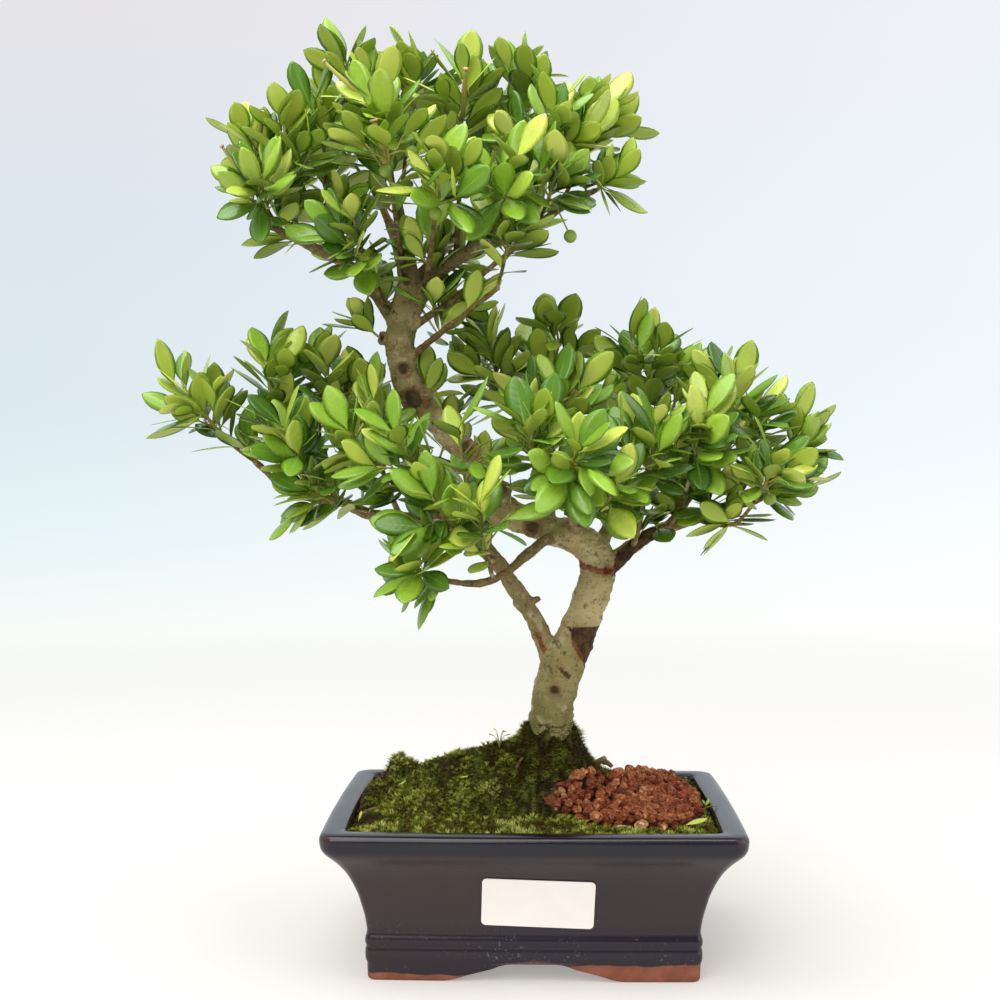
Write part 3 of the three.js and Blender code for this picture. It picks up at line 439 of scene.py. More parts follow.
for vertex in label.data.vertices:
    across, up = vertex.co.x / MM, vertex.co.y / MM
    x = LABEL_X + across * math.cos(tilt) + up * math.sin(tilt)
    z = LABEL_Z - across * math.sin(tilt) + up * math.cos(tilt)
    front = POT_DEPTH / 2 - float(np.interp(z, wall_heights, wall_insets)) - (x / 70) ** 2
    vertex.co = place(x, -front - 0.55, z)
apply_modifier(label, "SOLIDIFY", thickness=0.3 * MM, offset=0)
turn_outwards()
bpy.ops.object.shade_smooth_by_angle(angle=math.radians(30))
paper, tree, shader, where = new_material("label_paper")
white = mix(tree, mask(tree, where, 90, 0.3, 0.7), colour(248, 241, 235), colour(244, 237, 230))
connect(tree, white, shader.inputs["Base Color"])
sheen = calculate(tree, "MULTIPLY_ADD", mask(tree, where, 400, 0.3, 0.7), 0.1, 0.42)
connect(tree, sheen, shader.inputs["Roughness"])
bump(tree, shader, mask(tree, where, 700, 0.3, 0.7), 0.06, 0.0001)
label.data.materials.append(paper)
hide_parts("label")
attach(label, "root")

# The soil: dark potting soil that fills the tray to just under its lip and is heaped round the
# trunk. It is carried over from the frame, because moss and granules cover nearly all of it.
earth, tree, shader, where = new_material("potting_soil")
crumbs = mask(tree, where, 420, 0.35, 0.65)
humus = ramp(tree, crumbs, [(0.0, (34, 24, 18)), (0.6, (66, 46, 32)), (1.0, (98, 72, 50))])
connect(tree, humus, shader.inputs["Base Color"])
shader.inputs["Roughness"].default_value = 0.95
bump(tree, shader, crumbs, 0.8, 0.001)
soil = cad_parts["soil"]
for holder in soil.material_slots:
    holder.material = earth

# The moss: three cushions of living moss pressed onto the soil. Each is a lumpy sheet with
# thousands of tiny leafy tips standing on it, dark and mossy brown low down, yellow-green above.
# The near-black low colour on the sheet and at the tips' feet is painted shade, and the tips are
# lighter on the tops of the tufts and darker in the gaps between them, as painted light and shade.
TRAY_WIDTH, TRAY_DEPTH, TRAY_CORNER = 163.5, 122, 7.2
CORNER_X, CORNER_Y, MOSS_X, MOSS_Y = 75, 54, 81.2, 60.2
SOIL_EDGE, TRUNK_X = 62.5, 7
# The middle, height and spread of each mound, and the outlines of the patches in plan.
MOUNDS = [(8, 10, 31, 19), (8, -3, 24, 9), (-33, 6, 23, 18), (-66, 20, 19, 12), (48, 32, 5, 20)]
GRANULE_BED = [
    (5, -26), (16, -18), (35, -1), (44, 14), (48, 44), (62, 52), (70, 42), (78, 12), (75, -24),
    (61, -39), (31, -38), (18, -29),
]
BACK_PATCH = [(68, 56), (80, 58), (81, 24), (73, 42)]
FRONT_PATCH = [(64, -44), (77, -26), (79, -6), (82, -8), (82, -42), (80, -57), (62, -58)]


def clamp(value):
    """A number kept between 0 and 1."""
    return min(max(value, 0), 1)


def soil_height(x, y):
    """Height of the soil over the table at a place: mounds that fade towards the wall."""
    edge = clamp(min(TRAY_WIDTH / 2 - abs(x), TRAY_DEPTH / 2 - abs(y)) / 16)
    heap = 0
    for mx, my, height, spread in MOUNDS:
        heap += height * math.exp(-((x - mx) ** 2 + (y - my) ** 2) / (2 * spread * spread))
    return SOIL_EDGE + edge * edge * (3 - 2 * edge) * heap


def soil_top(x, y):
    """Height of the frame's own soil, which has flatter facets than the mounds."""
    found, spot, normal, face = soil.ray_cast(place(x, y, 200), Vector((0, 0, -1)))
    return spot.z / MM if found else SOIL_EDGE - 2.5


def tuft_height(x, y):
    """The moss's small tufts: rounded tops and narrow gaps, where the tone paints light and shade.
    """
    from_middle = noise.voronoi(Vector((x / 4.6 + 9, y / 4.6 + 2, 0)))[0][0]
    return 1.4 - 3.6 * min(from_middle, 0.8)


def moss_height(x, y):
    """Height of the moss: soil, sheet, cushions, and a collar and a shoulder at the trunk."""
    spot = Vector((x, y, 0))
    cushions = 1.2 - 3.4 * min(noise.voronoi(spot / 8.5)[0][0], 0.75)
    cushions += 1.5 * noise.noise(spot / 17 + Vector((3, 1, 4)))
    from_trunk = math.hypot(x - TRUNK_X, y)
    collar = (2.4 if x > TRUNK_X else 0.6) * math.exp(-((from_trunk - 10) / 3) ** 2)
    collar *= 0.6 + noise.noise(spot / 4)
    shoulder = 5 * math.exp(-((x - 21.5) ** 2 + (y + 1) ** 2) / 42)
    shoulder *= 1 + 0.5 * noise.noise(spot / 3)
    hump = -3 * math.exp(-((x + 50) ** 2 + (y - 20) ** 2) / 200)
    low = soil_top(x, y) + 1.4 + 0.5 * tuft_height(x, y)
    high = soil_height(x, y) + 1.2 + cushions + collar + shoulder + hump + tuft_height(x, y)
    return max(high, low)


def inside(x, y, outline, grow=0.0):
    """True inside a plan outline that is grown outwards from its middle."""
    mx = sum(p[0] for p in outline) / len(outline)
    my = sum(p[1] for p in outline) / len(outline)
    grown = []
    for px, py in outline:
        far = math.hypot(px - mx, py - my)
        grown.append((px + grow * (px - mx) / far, py + grow * (py - my) / far))
    found = False
    for (ax, ay), (bx, by) in zip(grown, grown[1:] + grown[:1]):
        if (ay > y) != (by > y) and x < ax + (y - ay) * (bx - ax) / (by - ay):
            found = not found
    return found


def in_tray(x, y, margin=0.0):
    """True inside the tray's rounded wall."""
    corner = math.hypot(max(abs(x) - CORNER_X, 0), max(abs(y) - CORNER_Y, 0))
    in_sides = abs(x) < MOSS_X - margin and abs(y) < MOSS_Y - margin
    return in_sides and corner < TRAY_CORNER - margin


def on_main_moss(x, y):
    """True where the main sheet of moss lies: all of the tray but the patches and the trunk."""
    patches = any(inside(x, y, outline, 1) for outline in (GRANULE_BED, BACK_PATCH, FRONT_PATCH))
    return not patches and math.hypot(x - TRUNK_X, y) > 8.5


def marked(tree, name):
    """A number that the mesh carries at each vertex."""
    return add_node(tree, "Attribute", attribute_name=name).outputs["Fac"]


moss_look, tree, shader, where = new_material("living_moss")
tip, tone = marked(tree, "tip"), marked(tree, "tone")
# Painted shade: the near-black low colour that the sheet and the needles' feet take; the high
# colour runs from brown to pale yellow-green with the tone.
shaded_depths = ramp(tree, tone, [(0.0, (16, 10, 4)), (0.5, (24, 24, 5)), (1.0, (56, 62, 12))])
bright = ramp(tree, tone, [
    (0.0, (92, 72, 32)), (0.22, (112, 98, 38)), (0.42, (140, 152, 46)), (0.68, (200, 212, 80)),
    (1.0, (246, 246, 146)),
])
connect(tree, mix(tree, tip, shaded_depths, bright), shader.inputs["Base Color"])
shader.inputs["Roughness"].default_value = 0.75
shader.inputs["Specular IOR Level"].default_value = 0.12


def set_attribute(piece, name, values):
    """One number for each vertex, for the material to read."""
    layer = piece.data.attributes.new(name, "FLOAT", "POINT")
    layer.data.foreach_set("value", np.asarray(values, dtype=np.float32))


def taken_apart(shape):
    """The points and faces of an object, which is then removed."""
    points = [vertex.co.copy() for vertex in shape.data.vertices]
    faces = [tuple(polygon.vertices) for polygon in shape.data.polygons]
    bpy.data.objects.remove(shape)
    return points, faces


SHEET_THICKNESS, NEEDLES, NEEDLE_FOOT = 2.6, 4, 0.34


def make_moss(name, node, belongs, spacing, seed, round_trunk=0):
    """One cushion: a closed lumpy sheet and the tips on it, in one mesh."""
    draw = random.Random(seed)
    bpy.ops.object.select_all(action="DESELECT")
    bpy.ops.mesh.primitive_grid_add(x_subdivisions=108, y_subdivisions=84, size=1)
    sheet = bpy.context.object
    bpy.ops.object.mode_set(mode="EDIT")
    bpy.ops.transform.resize(value=(162, 122, 1))
    cells = bmesh.from_edit_mesh(sheet.data)
    for face in cells.faces:
        centre = face.calc_center_median()
        face.select = not (in_tray(centre.x, centre.y) and belongs(centre.x, centre.y))
    bmesh.update_edit_mesh(sheet.data)
    bpy.ops.mesh.delete(type="FACE")
    bpy.ops.object.mode_set(mode="OBJECT")
    for vertex in sheet.data.vertices:
        x, y = vertex.co.x, vertex.co.y
        vertex.co = place(x, y, moss_height(x, y) - 0.6)
    apply_modifier(sheet, "SOLIDIFY", thickness=SHEET_THICKNESS * MM, offset=-1)
    points, faces = taken_apart(sheet)
    tips, tones = [], []
    # The sheet takes mostly the low colour, as painted shade under the tips.
    for x, y, z in points:
        tips.append(max(0.14 + 0.6 * noise.noise(Vector((x * 420, y * 420, 3))), 0))
        tones.append(0.4 + 0.5 * noise.noise(Vector((x * 60, y * 60, 1))))
    spots = []
    for x in np.arange(-80, 80, spacing):
        for y in np.arange(-60, 60, spacing):
            shift_x, shift_y = draw.uniform(-0.6, 0.6), draw.uniform(-0.6, 0.6)
            spots.append((x + spacing * shift_x, y + spacing * shift_y))
    for turn in range(round_trunk):
        angle, reach = draw.uniform(0, 6.28), draw.uniform(9.5, 24)
        spots.append((TRUNK_X + reach * math.cos(angle), reach * math.sin(angle)))
    for px, py in spots:
        if not (in_tray(px, py, 0.6) and belongs(px, py)):
            continue
        z = moss_height(px, py) - 0.8
        lean = Vector((
            moss_height(px - 1, py) - moss_height(px + 1, py),
            moss_height(px, py - 1) - moss_height(px, py + 1), 2.4,
        )).normalized()
        # The tip's tone: random, lighter on the tops of the tufts and darker in their gaps as
        # painted light and shade, and darker near the trunk and towards the left end.
        shade = 0.47 + 0.6 * noise.noise(Vector((px / 12, py / 12, 5))) + 0.36 * tuft_height(px, py)
        near_trunk = math.exp(-((px - TRUNK_X) ** 2 + (py + 2) ** 2) / 420)
        shade -= 0.22 * near_trunk + 0.25 * max((-66 - px) / 14, 0)
        shade = clamp(shade + draw.uniform(-0.28, 0.28))
        bushy = near_trunk * max(0.4 + noise.noise(Vector((px / 4, py / 4, 8))), 0)
        size = draw.uniform(1.1, 2.4) * (0.8 + 0.4 * shade + 0.5 * bushy)
        for needle in range(NEEDLES):
            angle = needle * 1.57 + draw.uniform(-0.6, 0.6)
            out = Vector((math.cos(angle), math.sin(angle), 0))
            point = lean * size + out * size * draw.uniform(0.25, 0.75)
            first = len(points)
            for turn in range(3):
                foot = angle + 2.094 * turn
                x, y = px + NEEDLE_FOOT * math.cos(foot), py + NEEDLE_FOOT * math.sin(foot)
                points.append(tuple(place(x, y, z)))
            points.append(tuple(place(px + point.x, py + point.y, z + point.z)))
            faces += [
                (first, first + 2, first + 1), (first, first + 1, first + 3),
                (first + 1, first + 2, first + 3), (first + 2, first, first + 3),
            ]
            # Each needle is dark at its foot, partly its own colour and partly painted shade, and
            # light at its tip.
            tips += [0.1, 0.1, 0.1, 1.0]
            tones += [shade] * 4
    moss = new_piece(name, points, faces)
    set_attribute(moss, "tip", tips)
    set_attribute(moss, "tone", tones)
    moss.data.materials.append(moss_look)
    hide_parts(node)
    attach(moss, "root")


make_moss("moss_cushion", "moss_sheet", on_main_moss, 1.35, 5, 2200)
make_moss("moss_back_corner", "moss_back_right", lambda x, y: inside(x, y, BACK_PATCH), 1.2, 6)
make_moss("moss_front_corner", "moss_front_right", lambda x, y: inside(x, y, FRONT_PATCH), 1.2, 7)

# The granules: angular grains of porous red-brown fired clay, three to six millimetres across,
# spread over the soil on the right. A few paler, orange ones lie along the front.
TRIES, MOST_GRAINS = 9000, 620
bpy.ops.object.select_all(action="DESELECT")
bpy.ops.mesh.primitive_ico_sphere_add(subdivisions=2, radius=1)
ball_points, ball_faces = taken_apart(bpy.context.object)
draw = random.Random(21)
points, faces, tones, grains = [], [], [], []
for attempt in range(TRIES):
    x, y = draw.uniform(4, 78), draw.uniform(-52, 52)
    size = draw.choice((draw.uniform(1.3, 2.4), draw.uniform(2, 3.2)))
    if not inside(x, y, GRANULE_BED, 0.5) or len(grains) > MOST_GRAINS:
        continue
    ground = soil_height(x, y) + 0.6
    under = [g for g in grains if math.hypot(g[0] - x, g[1] - y) < 0.72 * (g[3] + size)]
    z = max([ground + size * 0.7] + [g[2] + 0.9 * (g[3] + size) * 0.8 for g in under])
    if z > ground + 5.5:
        continue
    grains.append((x, y, z, size))
    front = clamp((-20 - y) / 20)
    tone = clamp(draw.gauss(0.34, 0.24) + 0.4 * front * draw.random())
    turn = Matrix.Rotation(draw.uniform(0, 6.28), 3, draw.choice("XYZ"))
    turn @= Matrix.Rotation(draw.uniform(0, 6.28), 3, "Z")
    stretch = Vector((draw.uniform(0.95, 1.25), draw.uniform(0.8, 1.05), draw.uniform(0.75, 0.95)))
    first = len(points)
    seed = Vector((x, y, z)) * 3
    for corner in ball_points:
        rough = 1 + 0.5 * noise.noise(corner * 1.5 + seed) + 0.34 * noise.noise(corner * 3.7 + seed)
        spot = turn @ Vector(a * b for a, b in zip(corner, stretch)) * size * rough
        points.append(tuple(place(x + spot.x, y + spot.y, z + spot.z)))
        tones.append(tone)
    faces += [tuple(first + i for i in face) for face in ball_faces]
granules = new_piece("clay_granules", points, faces)
set_attribute(granules, "tone", tones)
fired, tree, shader, where = new_material("fired_clay")
body = ramp(tree, marked(tree, "tone"), [
    (0.0, (116, 42, 16)), (0.3, (172, 86, 46)), (0.65, (214, 130, 78)), (1.0, (246, 190, 134)),
])
pores = mask(tree, where, 800, 0.4, 0.6)
body = mix(tree, pores, mix(tree, 0.6, body, colour(70, 22, 6)), body)
connect(tree, body, shader.inputs["Base Color"])
shader.inputs["Roughness"].default_value = 0.9
bump(tree, shader, pores, 0.9, 0.0008)
granules.data.materials.append(fired)
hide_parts("granules")
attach(granules, "root")

# The wood: trunk, limbs and pruned stubs, grown as one under a thin grey bark. Each limb is a
# tapered tube on its own line; they are melted together, and the bark is raised on the result.
# The points of each limb's line, and its radius at each of them.
LIMBS = {
    "trunk": (
        [
            (7, 0, 60), (7, 0, 84), (8, 0, 98), (9, 0, 114), (12, 0, 127), (17, -1, 138),
            (22, -2, 150), (27, -3, 164), (30, -4, 175), (27, -5, 185), (18, -6, 191), (5, -6, 195),
            (-10, -4, 201), (-21, 0, 212), (-31, 4, 228), (-43, 5, 242), (-55, 4, 255),
            (-61, 2, 269), (-62, 0, 285), (-59, 0, 299), (-58, 0, 312), (-60, 1, 326),
            (-64, 3, 348),
        ],
        [
            12.5, 12, 10.4, 10, 10.4, 9.6, 8.6, 8.3, 8.6, 8, 7.2, 6.8, 6.6, 6.3, 6, 6, 6.4, 6.8,
            6.9, 7.3, 4.6, 3.4, 2.2,
        ],
    ),
    "left_low": (
        [
            (11, 0, 128), (0, -6, 153), (-12, -14, 173), (-20, -22, 185), (-29, -30, 196),
            (-38, -36, 205),
        ],
        [5.4, 4.2, 3.9, 3.3, 2.8, 2.3],
    ),
    "front_thin": (
        [
            (14, -4, 190), (6, -17, 190), (-2, -34, 185), (-12, -48, 177), (-23, -54, 173),
            (-35, -58, 174), (-46, -62, 177),
        ],
        [3, 2.7, 2.3, 2, 1.8, 1.6, 1.3],
    ),
    "right": (
        [
            (27, -4, 171), (38, -5, 180), (53, -10, 192), (71, -14, 199), (83, -14, 204),
            (101, -12, 208), (113, -10, 215),
        ],
        [6, 4.4, 3.2, 2.7, 2.4, 1.9, 1.5],
    ),
    "right_low": ([(74, -14, 200), (82, -22, 197), (92, -30, 198)], [1.7, 1.5, 1.3]),
    "right_up": ([(60, -11, 195), (72, -2, 208), (80, 8, 216), (89, 20, 222)], [2, 1.7, 1.6, 1.4]),
    "centre_right": (
        [(27, -4, 181), (37, 6, 198), (46, 12, 210), (56, 18, 222), (64, 22, 236)],
        [4.2, 3, 2.5, 2.1, 1.7],
    ),
    "back_right": (
        [(28, -3, 178), (36, 16, 196), (40, 34, 212), (48, 46, 224)], [3.6, 2.8, 2.2, 1.6],
    ),
    "back_left": (
        [(-16, -2, 206), (-26, 16, 217), (-42, 30, 225), (-58, 38, 229)], [3.4, 2.6, 2.1, 1.6],
    ),
    "centre_up": ([(8, -6, 194), (6, 2, 212), (0, 10, 230), (-4, 16, 246)], [3.2, 2.6, 2.1, 1.6]),
    "front_up": (
        [(20, -6, 190), (18, -24, 200), (12, -38, 208), (8, -48, 214)], [3.4, 2.5, 2, 1.5],
    ),
    "left_long": (
        [
            (-10, -4, 201), (-30, -2, 196), (-48, 0, 198), (-76, 0, 201), (-90, -2, 207),
            (-108, -6, 210), (-119, -10, 217), (-129, -14, 227),
        ],
        [4, 3.3, 3.2, 2.9, 2.5, 2.1, 1.7, 1.3],
    ),
    "crown_left": (
        [
            (-61, 1, 284), (-73, 0, 303), (-85, -2, 316), (-103, -6, 325), (-113, -8, 330),
            (-126, -10, 337), (-131, -12, 342),
        ],
        [3.6, 2.9, 2.7, 2.4, 2.1, 1.7, 1.4],
    ),
    "crown_right": (
        [
            (-59, 0, 293), (-43, -4, 314), (-29, -8, 322), (-14, -12, 327), (3, -16, 334),
            (14, -20, 341), (28, -24, 347),
        ],
        [4.6, 3.8, 3.2, 2.7, 2.2, 1.8, 1.4],
    ),
    "crown_back": (
        [(-59, 1, 302), (-64, 16, 324), (-72, 30, 346), (-80, 38, 362)], [3.6, 2.7, 2.2, 1.6],
    ),
    "crown_back_right": (
        [(-58, 0, 306), (-44, 18, 326), (-28, 32, 344), (-14, 40, 358)], [3.4, 2.6, 2.1, 1.6],
    ),
    "thin_low": (
        [(-60, 0, 272), (-42, -12, 285), (-24, -24, 297), (-15, -30, 303)], [2, 1.6, 1.4, 1.2],
    ),
    "thin_high": (
        [(-60, 0, 286), (-37, -10, 300), (-20, -18, 313), (-8, -24, 322), (2, -30, 330)],
        [2, 1.5, 1.3, 1.2, 1.1],
    ),
}
# The two ends and the radius of each pruned stub.
STUBS = [
    ((26, -3, 163), (36, -9, 175), 3), ((2, -5, 151), (-9, -10, 161), 1.5),
    ((-5, -9, 160), (3, -12, 163), 1.6), ((-16, -2, 206), (-14, -13, 214), 3.8),
    ((-61, 1, 279), (-71, -4, 283), 2.6), ((-52, 4, 251), (-49, -6, 258), 2.8),
    ((113, -10, 215), (119, -14, 210), 1.2),
]
# The limb of each spray, the number of the point that it leaves, and its tip.
SPRAYS = {
    "crown_left": [
        ("crown_left", 6, (-128, -4, 369)), ("crown_left", 5, (-120, -36, 348)),
        ("crown_left", 4, (-113, -18, 380)), ("crown_left", 3, (-99, 4, 395)),
    ],
    "crown_top": [
        ("trunk", 22, (-87, -8, 407)), ("trunk", 22, (-57, 12, 412)),
        ("trunk", 21, (-66, -40, 386)), ("crown_right", 2, (-32, -18, 398)),
        ("crown_right", 3, (-9, 4, 406)),
    ],
    "crown_front": [
        ("trunk", 20, (-62, -66, 362)), ("crown_right", 1, (-39, -72, 348)),
        ("crown_left", 1, (-78, -46, 330)), ("crown_right", 3, (-8, -58, 352)),
        ("thin_high", 4, (10, -50, 350)), ("thin_low", 3, (-10, -46, 327)),
    ],
    "crown_right": [
        ("crown_right", 4, (9, -34, 381)), ("crown_right", 5, (28, -4, 384)),
        ("crown_right", 6, (31, -26, 349)),
    ],
    "crown_back": [
        ("crown_back", 3, (-100, 44, 400)), ("crown_left", 4, (-128, 30, 368)),
        ("crown_back_right", 3, (-18, 54, 402)),
    ],
    "left": [
        ("left_long", 7, (-152, -26, 253)), ("left_long", 6, (-122, -16, 271)),
        ("left_long", 5, (-101, 6, 271)), ("left_long", 5, (-110, -40, 240)),
        ("left_long", 3, (-80, 2, 262)), ("left_long", 3, (-100, -32, 212)),
        ("left_long", 2, (-80, -50, 238)), ("back_left", 3, (-90, 40, 246)),
    ],
    "front": [
        ("left_low", 5, (-58, -70, 236)), ("left_low", 4, (-32, -64, 240)),
        ("left_low", 3, (-42, -78, 210)), ("front_thin", 6, (-49, -66, 180)),
        ("front_thin", 4, (-22, -90, 208)), ("front_up", 3, (-4, -70, 240)),
        ("front_up", 3, (18, -84, 230)), ("front_up", 1, (36, -66, 216)),
    ],
    "middle": [
        ("trunk", 10, (10, -38, 256)), ("centre_up", 3, (-22, 20, 280)),
        ("centre_up", 3, (13, 26, 285)),
    ],
    "right": [
        ("centre_right", 4, (45, 4, 282)), ("centre_right", 3, (72, 32, 268)),
        ("right", 2, (52, -56, 240)), ("right", 3, (74, -46, 244)), ("right", 4, (90, -14, 260)),
        ("right_low", 2, (103, -48, 223)), ("right", 5, (100, -24, 249)),
        ("right", 6, (119, -14, 236)), ("right_up", 3, (98, 34, 242)),
        ("back_right", 3, (34, 64, 256)),
    ],
}


def unit(vector):
    """A vector of length 1."""
    return vector / np.linalg.norm(vector)


def smooth_line(points, values, step=2.5):
    """A curve through points, with the values that go with it, in steps of a few millimetres."""
    points = np.array(points, float)
    ends = np.vstack([2 * points[0] - points[1], points, 2 * points[-1] - points[-2]])
    line, widths = [], []
    for i in range(1, len(points)):
        a, b, c, d = ends[i - 1:i + 3]
        count = max(2, round(np.linalg.norm(c - b) / step))
        for k in range(count + (i == len(points) - 1)):
            t = k / count
            square = (2 * a - 5 * b + 4 * c - d) * t ** 2
            cube = (3 * b - a - 3 * c + d) * t ** 3
            line.append(0.5 * (2 * b + (c - a) * t + square + cube))
            widths.append(values[i - 1] + (values[i] - values[i - 1]) * t)
    return line, widths


def tube_rings(points, radii, sides):
    """Rings round a line of points in millimetres, for a tapered closed tube."""
    side = np.array([0.31, 0.94, 0.13])
    rings = []
    for i, point in enumerate(points):
        along = unit(np.subtract(points[min(i + 1, len(points) - 1)], points[max(i - 1, 0)]))
        side = unit(side - along * side.dot(along))
        across = np.cross(along, side)
        angles = [2 * math.pi * k / sides for k in range(sides)]
        spokes = [side * math.cos(angle) + across * math.sin(angle) for angle in angles]
        rings.append([place(*(point + radii[i] * spoke)) for spoke in spokes])
    return rings


def join_parts(parts):
    """Several sets of points and faces as one."""
    points, faces = [], []
    for some_points, some_faces in parts:
        faces += [tuple(len(points) + i for i in face) for face in some_faces]
        points += some_points
    return points, faces


def spray_stem(limb, number, tip):
    """A spray's stem: it leaves its limb outwards, bends up to its tip, and is wood low down."""
    points, radii = LIMBS[limb]
    back = 0.2 if number == len(points) - 1 else 0.5
    at, before = np.array(points[number], float), np.array(points[number - 1], float)
    start, tip = at + (before - at) * back, np.array(tip, float)
    bend = start * (0.4, 0.4, 0.65) + tip * (0.6, 0.6, 0.35)
    length = np.linalg.norm(tip - start)
    wood_share, root = max(0.45, 1 - 30 / length), min(1.6, 0.6 * radii[number])
    return {"ends": (start, bend, tip), "length": length, "wood": wood_share, "root": root}


def bent_line(ends, shares):
    """Points at some shares of a line that leaves its start towards a bend and ends at a tip."""
    start, bend, tip = ends
    return [start * (1 - t) ** 2 + bend * 2 * t * (1 - t) + tip * t * t for t in shares]


def stem_points(stem, first, last, count):
    """Points along a part of a spray's stem."""
    shares = [first + (last - first) * i / count for i in range(count + 1)]
    return bent_line(stem["ends"], shares)


parts, skeleton = [], []
for name, (line, radii) in LIMBS.items():
    line, radii = smooth_line(line, radii)
    swell = [r * (1 + 0.07 * noise.noise(Vector(p) / 14)) for p, r in zip(line, radii)]
    parts.append(loft(tube_rings(line, swell, 20 if radii[0] > 5 else 12)))
    skeleton += [(p, r, name) for p, r in zip(line, radii)]
for start, end, radius in STUBS:
    line, radii = smooth_line([start, end], [radius * 1.25, radius])
    parts.append(loft(tube_rings(line, radii, 12)))
    skeleton += [(p, r, "stub") for p, r in zip(line[1:], radii[1:])]
wood = new_piece("trunk_and_limbs", *join_parts(parts))
apply_modifier(wood, "REMESH", mode="VOXEL", voxel_size=0.85 * MM)
apply_modifier(wood, "SMOOTH", factor=0.5, iterations=4)

tree_of_points = kdtree.KDTree(len(skeleton))
for i, (point, radius, name) in enumerate(skeleton):
    tree_of_points.insert(Vector(point), i)
tree_of_points.balance()
# The middle and radius of each healed wound, and the dark and orange patches seen from the front.
WOUNDS = [
    ((-56, -3, 254), 6.5), ((-28, -8, 235), 5.5), ((-1, -14, 195), 4.5), ((9.6, -11, 120.5), 2.6),
    ((33.6, -12, 175.8), 2.4), ((-60, -8, 268), 3.6), ((-14, -14, 214), 3.8), ((-71, -5, 283), 2.8),
]
PATCHES = [
    (
        "dark",
        [
            (14.6, 150.4), (17.1, 149.4), (30, 149.5), (42, 150), (36, 138), (24, 130),
            (21.3, 136.5), (18.1, 142.5), (16.6, 148),
        ],
    ),
    ("orange", [(17.4, 142.8), (19.6, 142.2), (23, 135), (21.2, 134.4)]),
    ("dark", [(10.8, 131), (13.2, 130.6), (17.6, 126.6), (16, 125.4), (12.6, 128.4)]),
    ("orange", [(10.4, 131.8), (13.4, 131), (14.6, 129.6), (11, 130.6)]),
    ("orange", [(0.2, 147.4), (2.6, 147), (6.2, 139), (4.2, 136.8)]),
    ("dark", [(1.6, 144.6), (3, 144.2), (5.2, 139.4), (4.2, 138.4)]),
    (
        "orange",
        [
            (19, 181.6), (23, 179.4), (30, 176.6), (37, 176.8), (37, 174), (30, 174.4), (24, 176.4),
            (19, 178.8),
        ],
    ),
    ("dark", [(22, 177.4), (30, 175), (36, 174.6), (36, 173.8), (30, 174.2), (22, 176.4)]),
    ("dark", [(2, 104.6), (13, 103.8), (24, 105.4), (24, 104.6), (13, 102.9), (2, 103.4)]),
    ("dark", [(36, 173), (38, 184), (48, 193), (56, 197), (57, 191), (46, 183), (42, 174)]),
]
wounds = []
for centre, reach in WOUNDS:
    found, near, normal, index = wood.closest_point_on_mesh(place(*centre))
    wounds.append((measured(near), reach))
BARK_MARKS = ("age", "green", "dark", "orange")
age, green, dark, orange = [], [], [], []
normals = [vertex.normal.copy() for vertex in wood.data.vertices]
for vertex, normal in zip(wood.data.vertices, normals):
    spot = measured(vertex.co)
    near = [(skeleton[index][1], far) for at, index, far in tree_of_points.find_range(spot, 14)]
    radius = max((r for r, far in near if far < r + 2.5), default=1.2)
    thick = min(radius / 8, 1.2)
    ripple = 0.8 * noise.noise(Vector((spot.x / 9, spot.y / 9, spot.z / 6)))
    ripple += 0.5 * noise.noise(Vector((spot.x / 3.6, spot.y / 3.6, spot.z / 2.2)))
    low_down = clamp((118 - spot.z) / 20)
    ripple += 0.5 * low_down * noise.noise(Vector((spot.x / 7, spot.y / 7, spot.z / 1.4)))
    ripple += 0.34 * noise.noise(spot / 1.5)
    marks = {"dark": 0.0, "orange": 0.0}
    if normal.y < 0.3 and abs(spot.y + 6) < 12:
        ragged_x = spot.x + 0.5 * noise.noise(spot / 2)
        ragged_z = spot.z + 0.5 * noise.noise(spot / 1.7)
        for kind, outline in PATCHES:
            if inside(ragged_x, ragged_z, outline):
                marks[kind] = 1.0
    for centre, reach in wounds:
        gap = (spot - centre).length / reach + 0.12 * noise.noise(spot / 2.2)
        lip = math.exp(-((gap - 0.95) / 0.2) ** 2)
        hollow = clamp((0.85 - gap) * 4)
        ripple += 1.1 * lip - 1.3 * hollow * (0.8 + 0.6 * noise.noise(spot / 1.1))
        marks["dark"] = max(marks["dark"], 0.9 * hollow)
        marks["orange"] = max(marks["orange"], 0.5 * lip)
    ripple -= 0.25 * marks["dark"] * (0.6 + noise.noise(spot / 1.6))
    vertex.co += normal * MM * ripple * (0.35 + 0.75 * thick)
    age.append(clamp((radius - 1.4) / 6))
    green.append(clamp((146 - spot.z) / 40))
    dark.append(marks["dark"])
    orange.append(marks["orange"])
for name, values in zip(BARK_MARKS, (age, green, dark, orange)):
    set_attribute(wood, name, values)
bpy.ops.object.shade_smooth()

bark, tree, shader, where = new_material("bark")
age_of, green_of, dark_of, orange_of = (marked(tree, name) for name in BARK_MARKS)
stretched = add_node(tree, "Mapping", {"Vector": where, "Scale": (1, 1, 2.2)}).outputs["Vector"]
grey = mix(tree, mask(tree, where, 55, 0.35, 0.65), colour(168, 150, 98), colour(210, 192, 142))
mossy = mix(tree, mask(tree, where, 90, 0.35, 0.65), colour(128, 122, 64), colour(164, 152, 98))
old = mix(tree, green_of, grey, mossy)
young = mix(tree, mask(tree, stretched, 260, 0.35, 0.65), colour(104, 80, 48), colour(150, 126, 78))
skin = mix(tree, age_of, young, old)
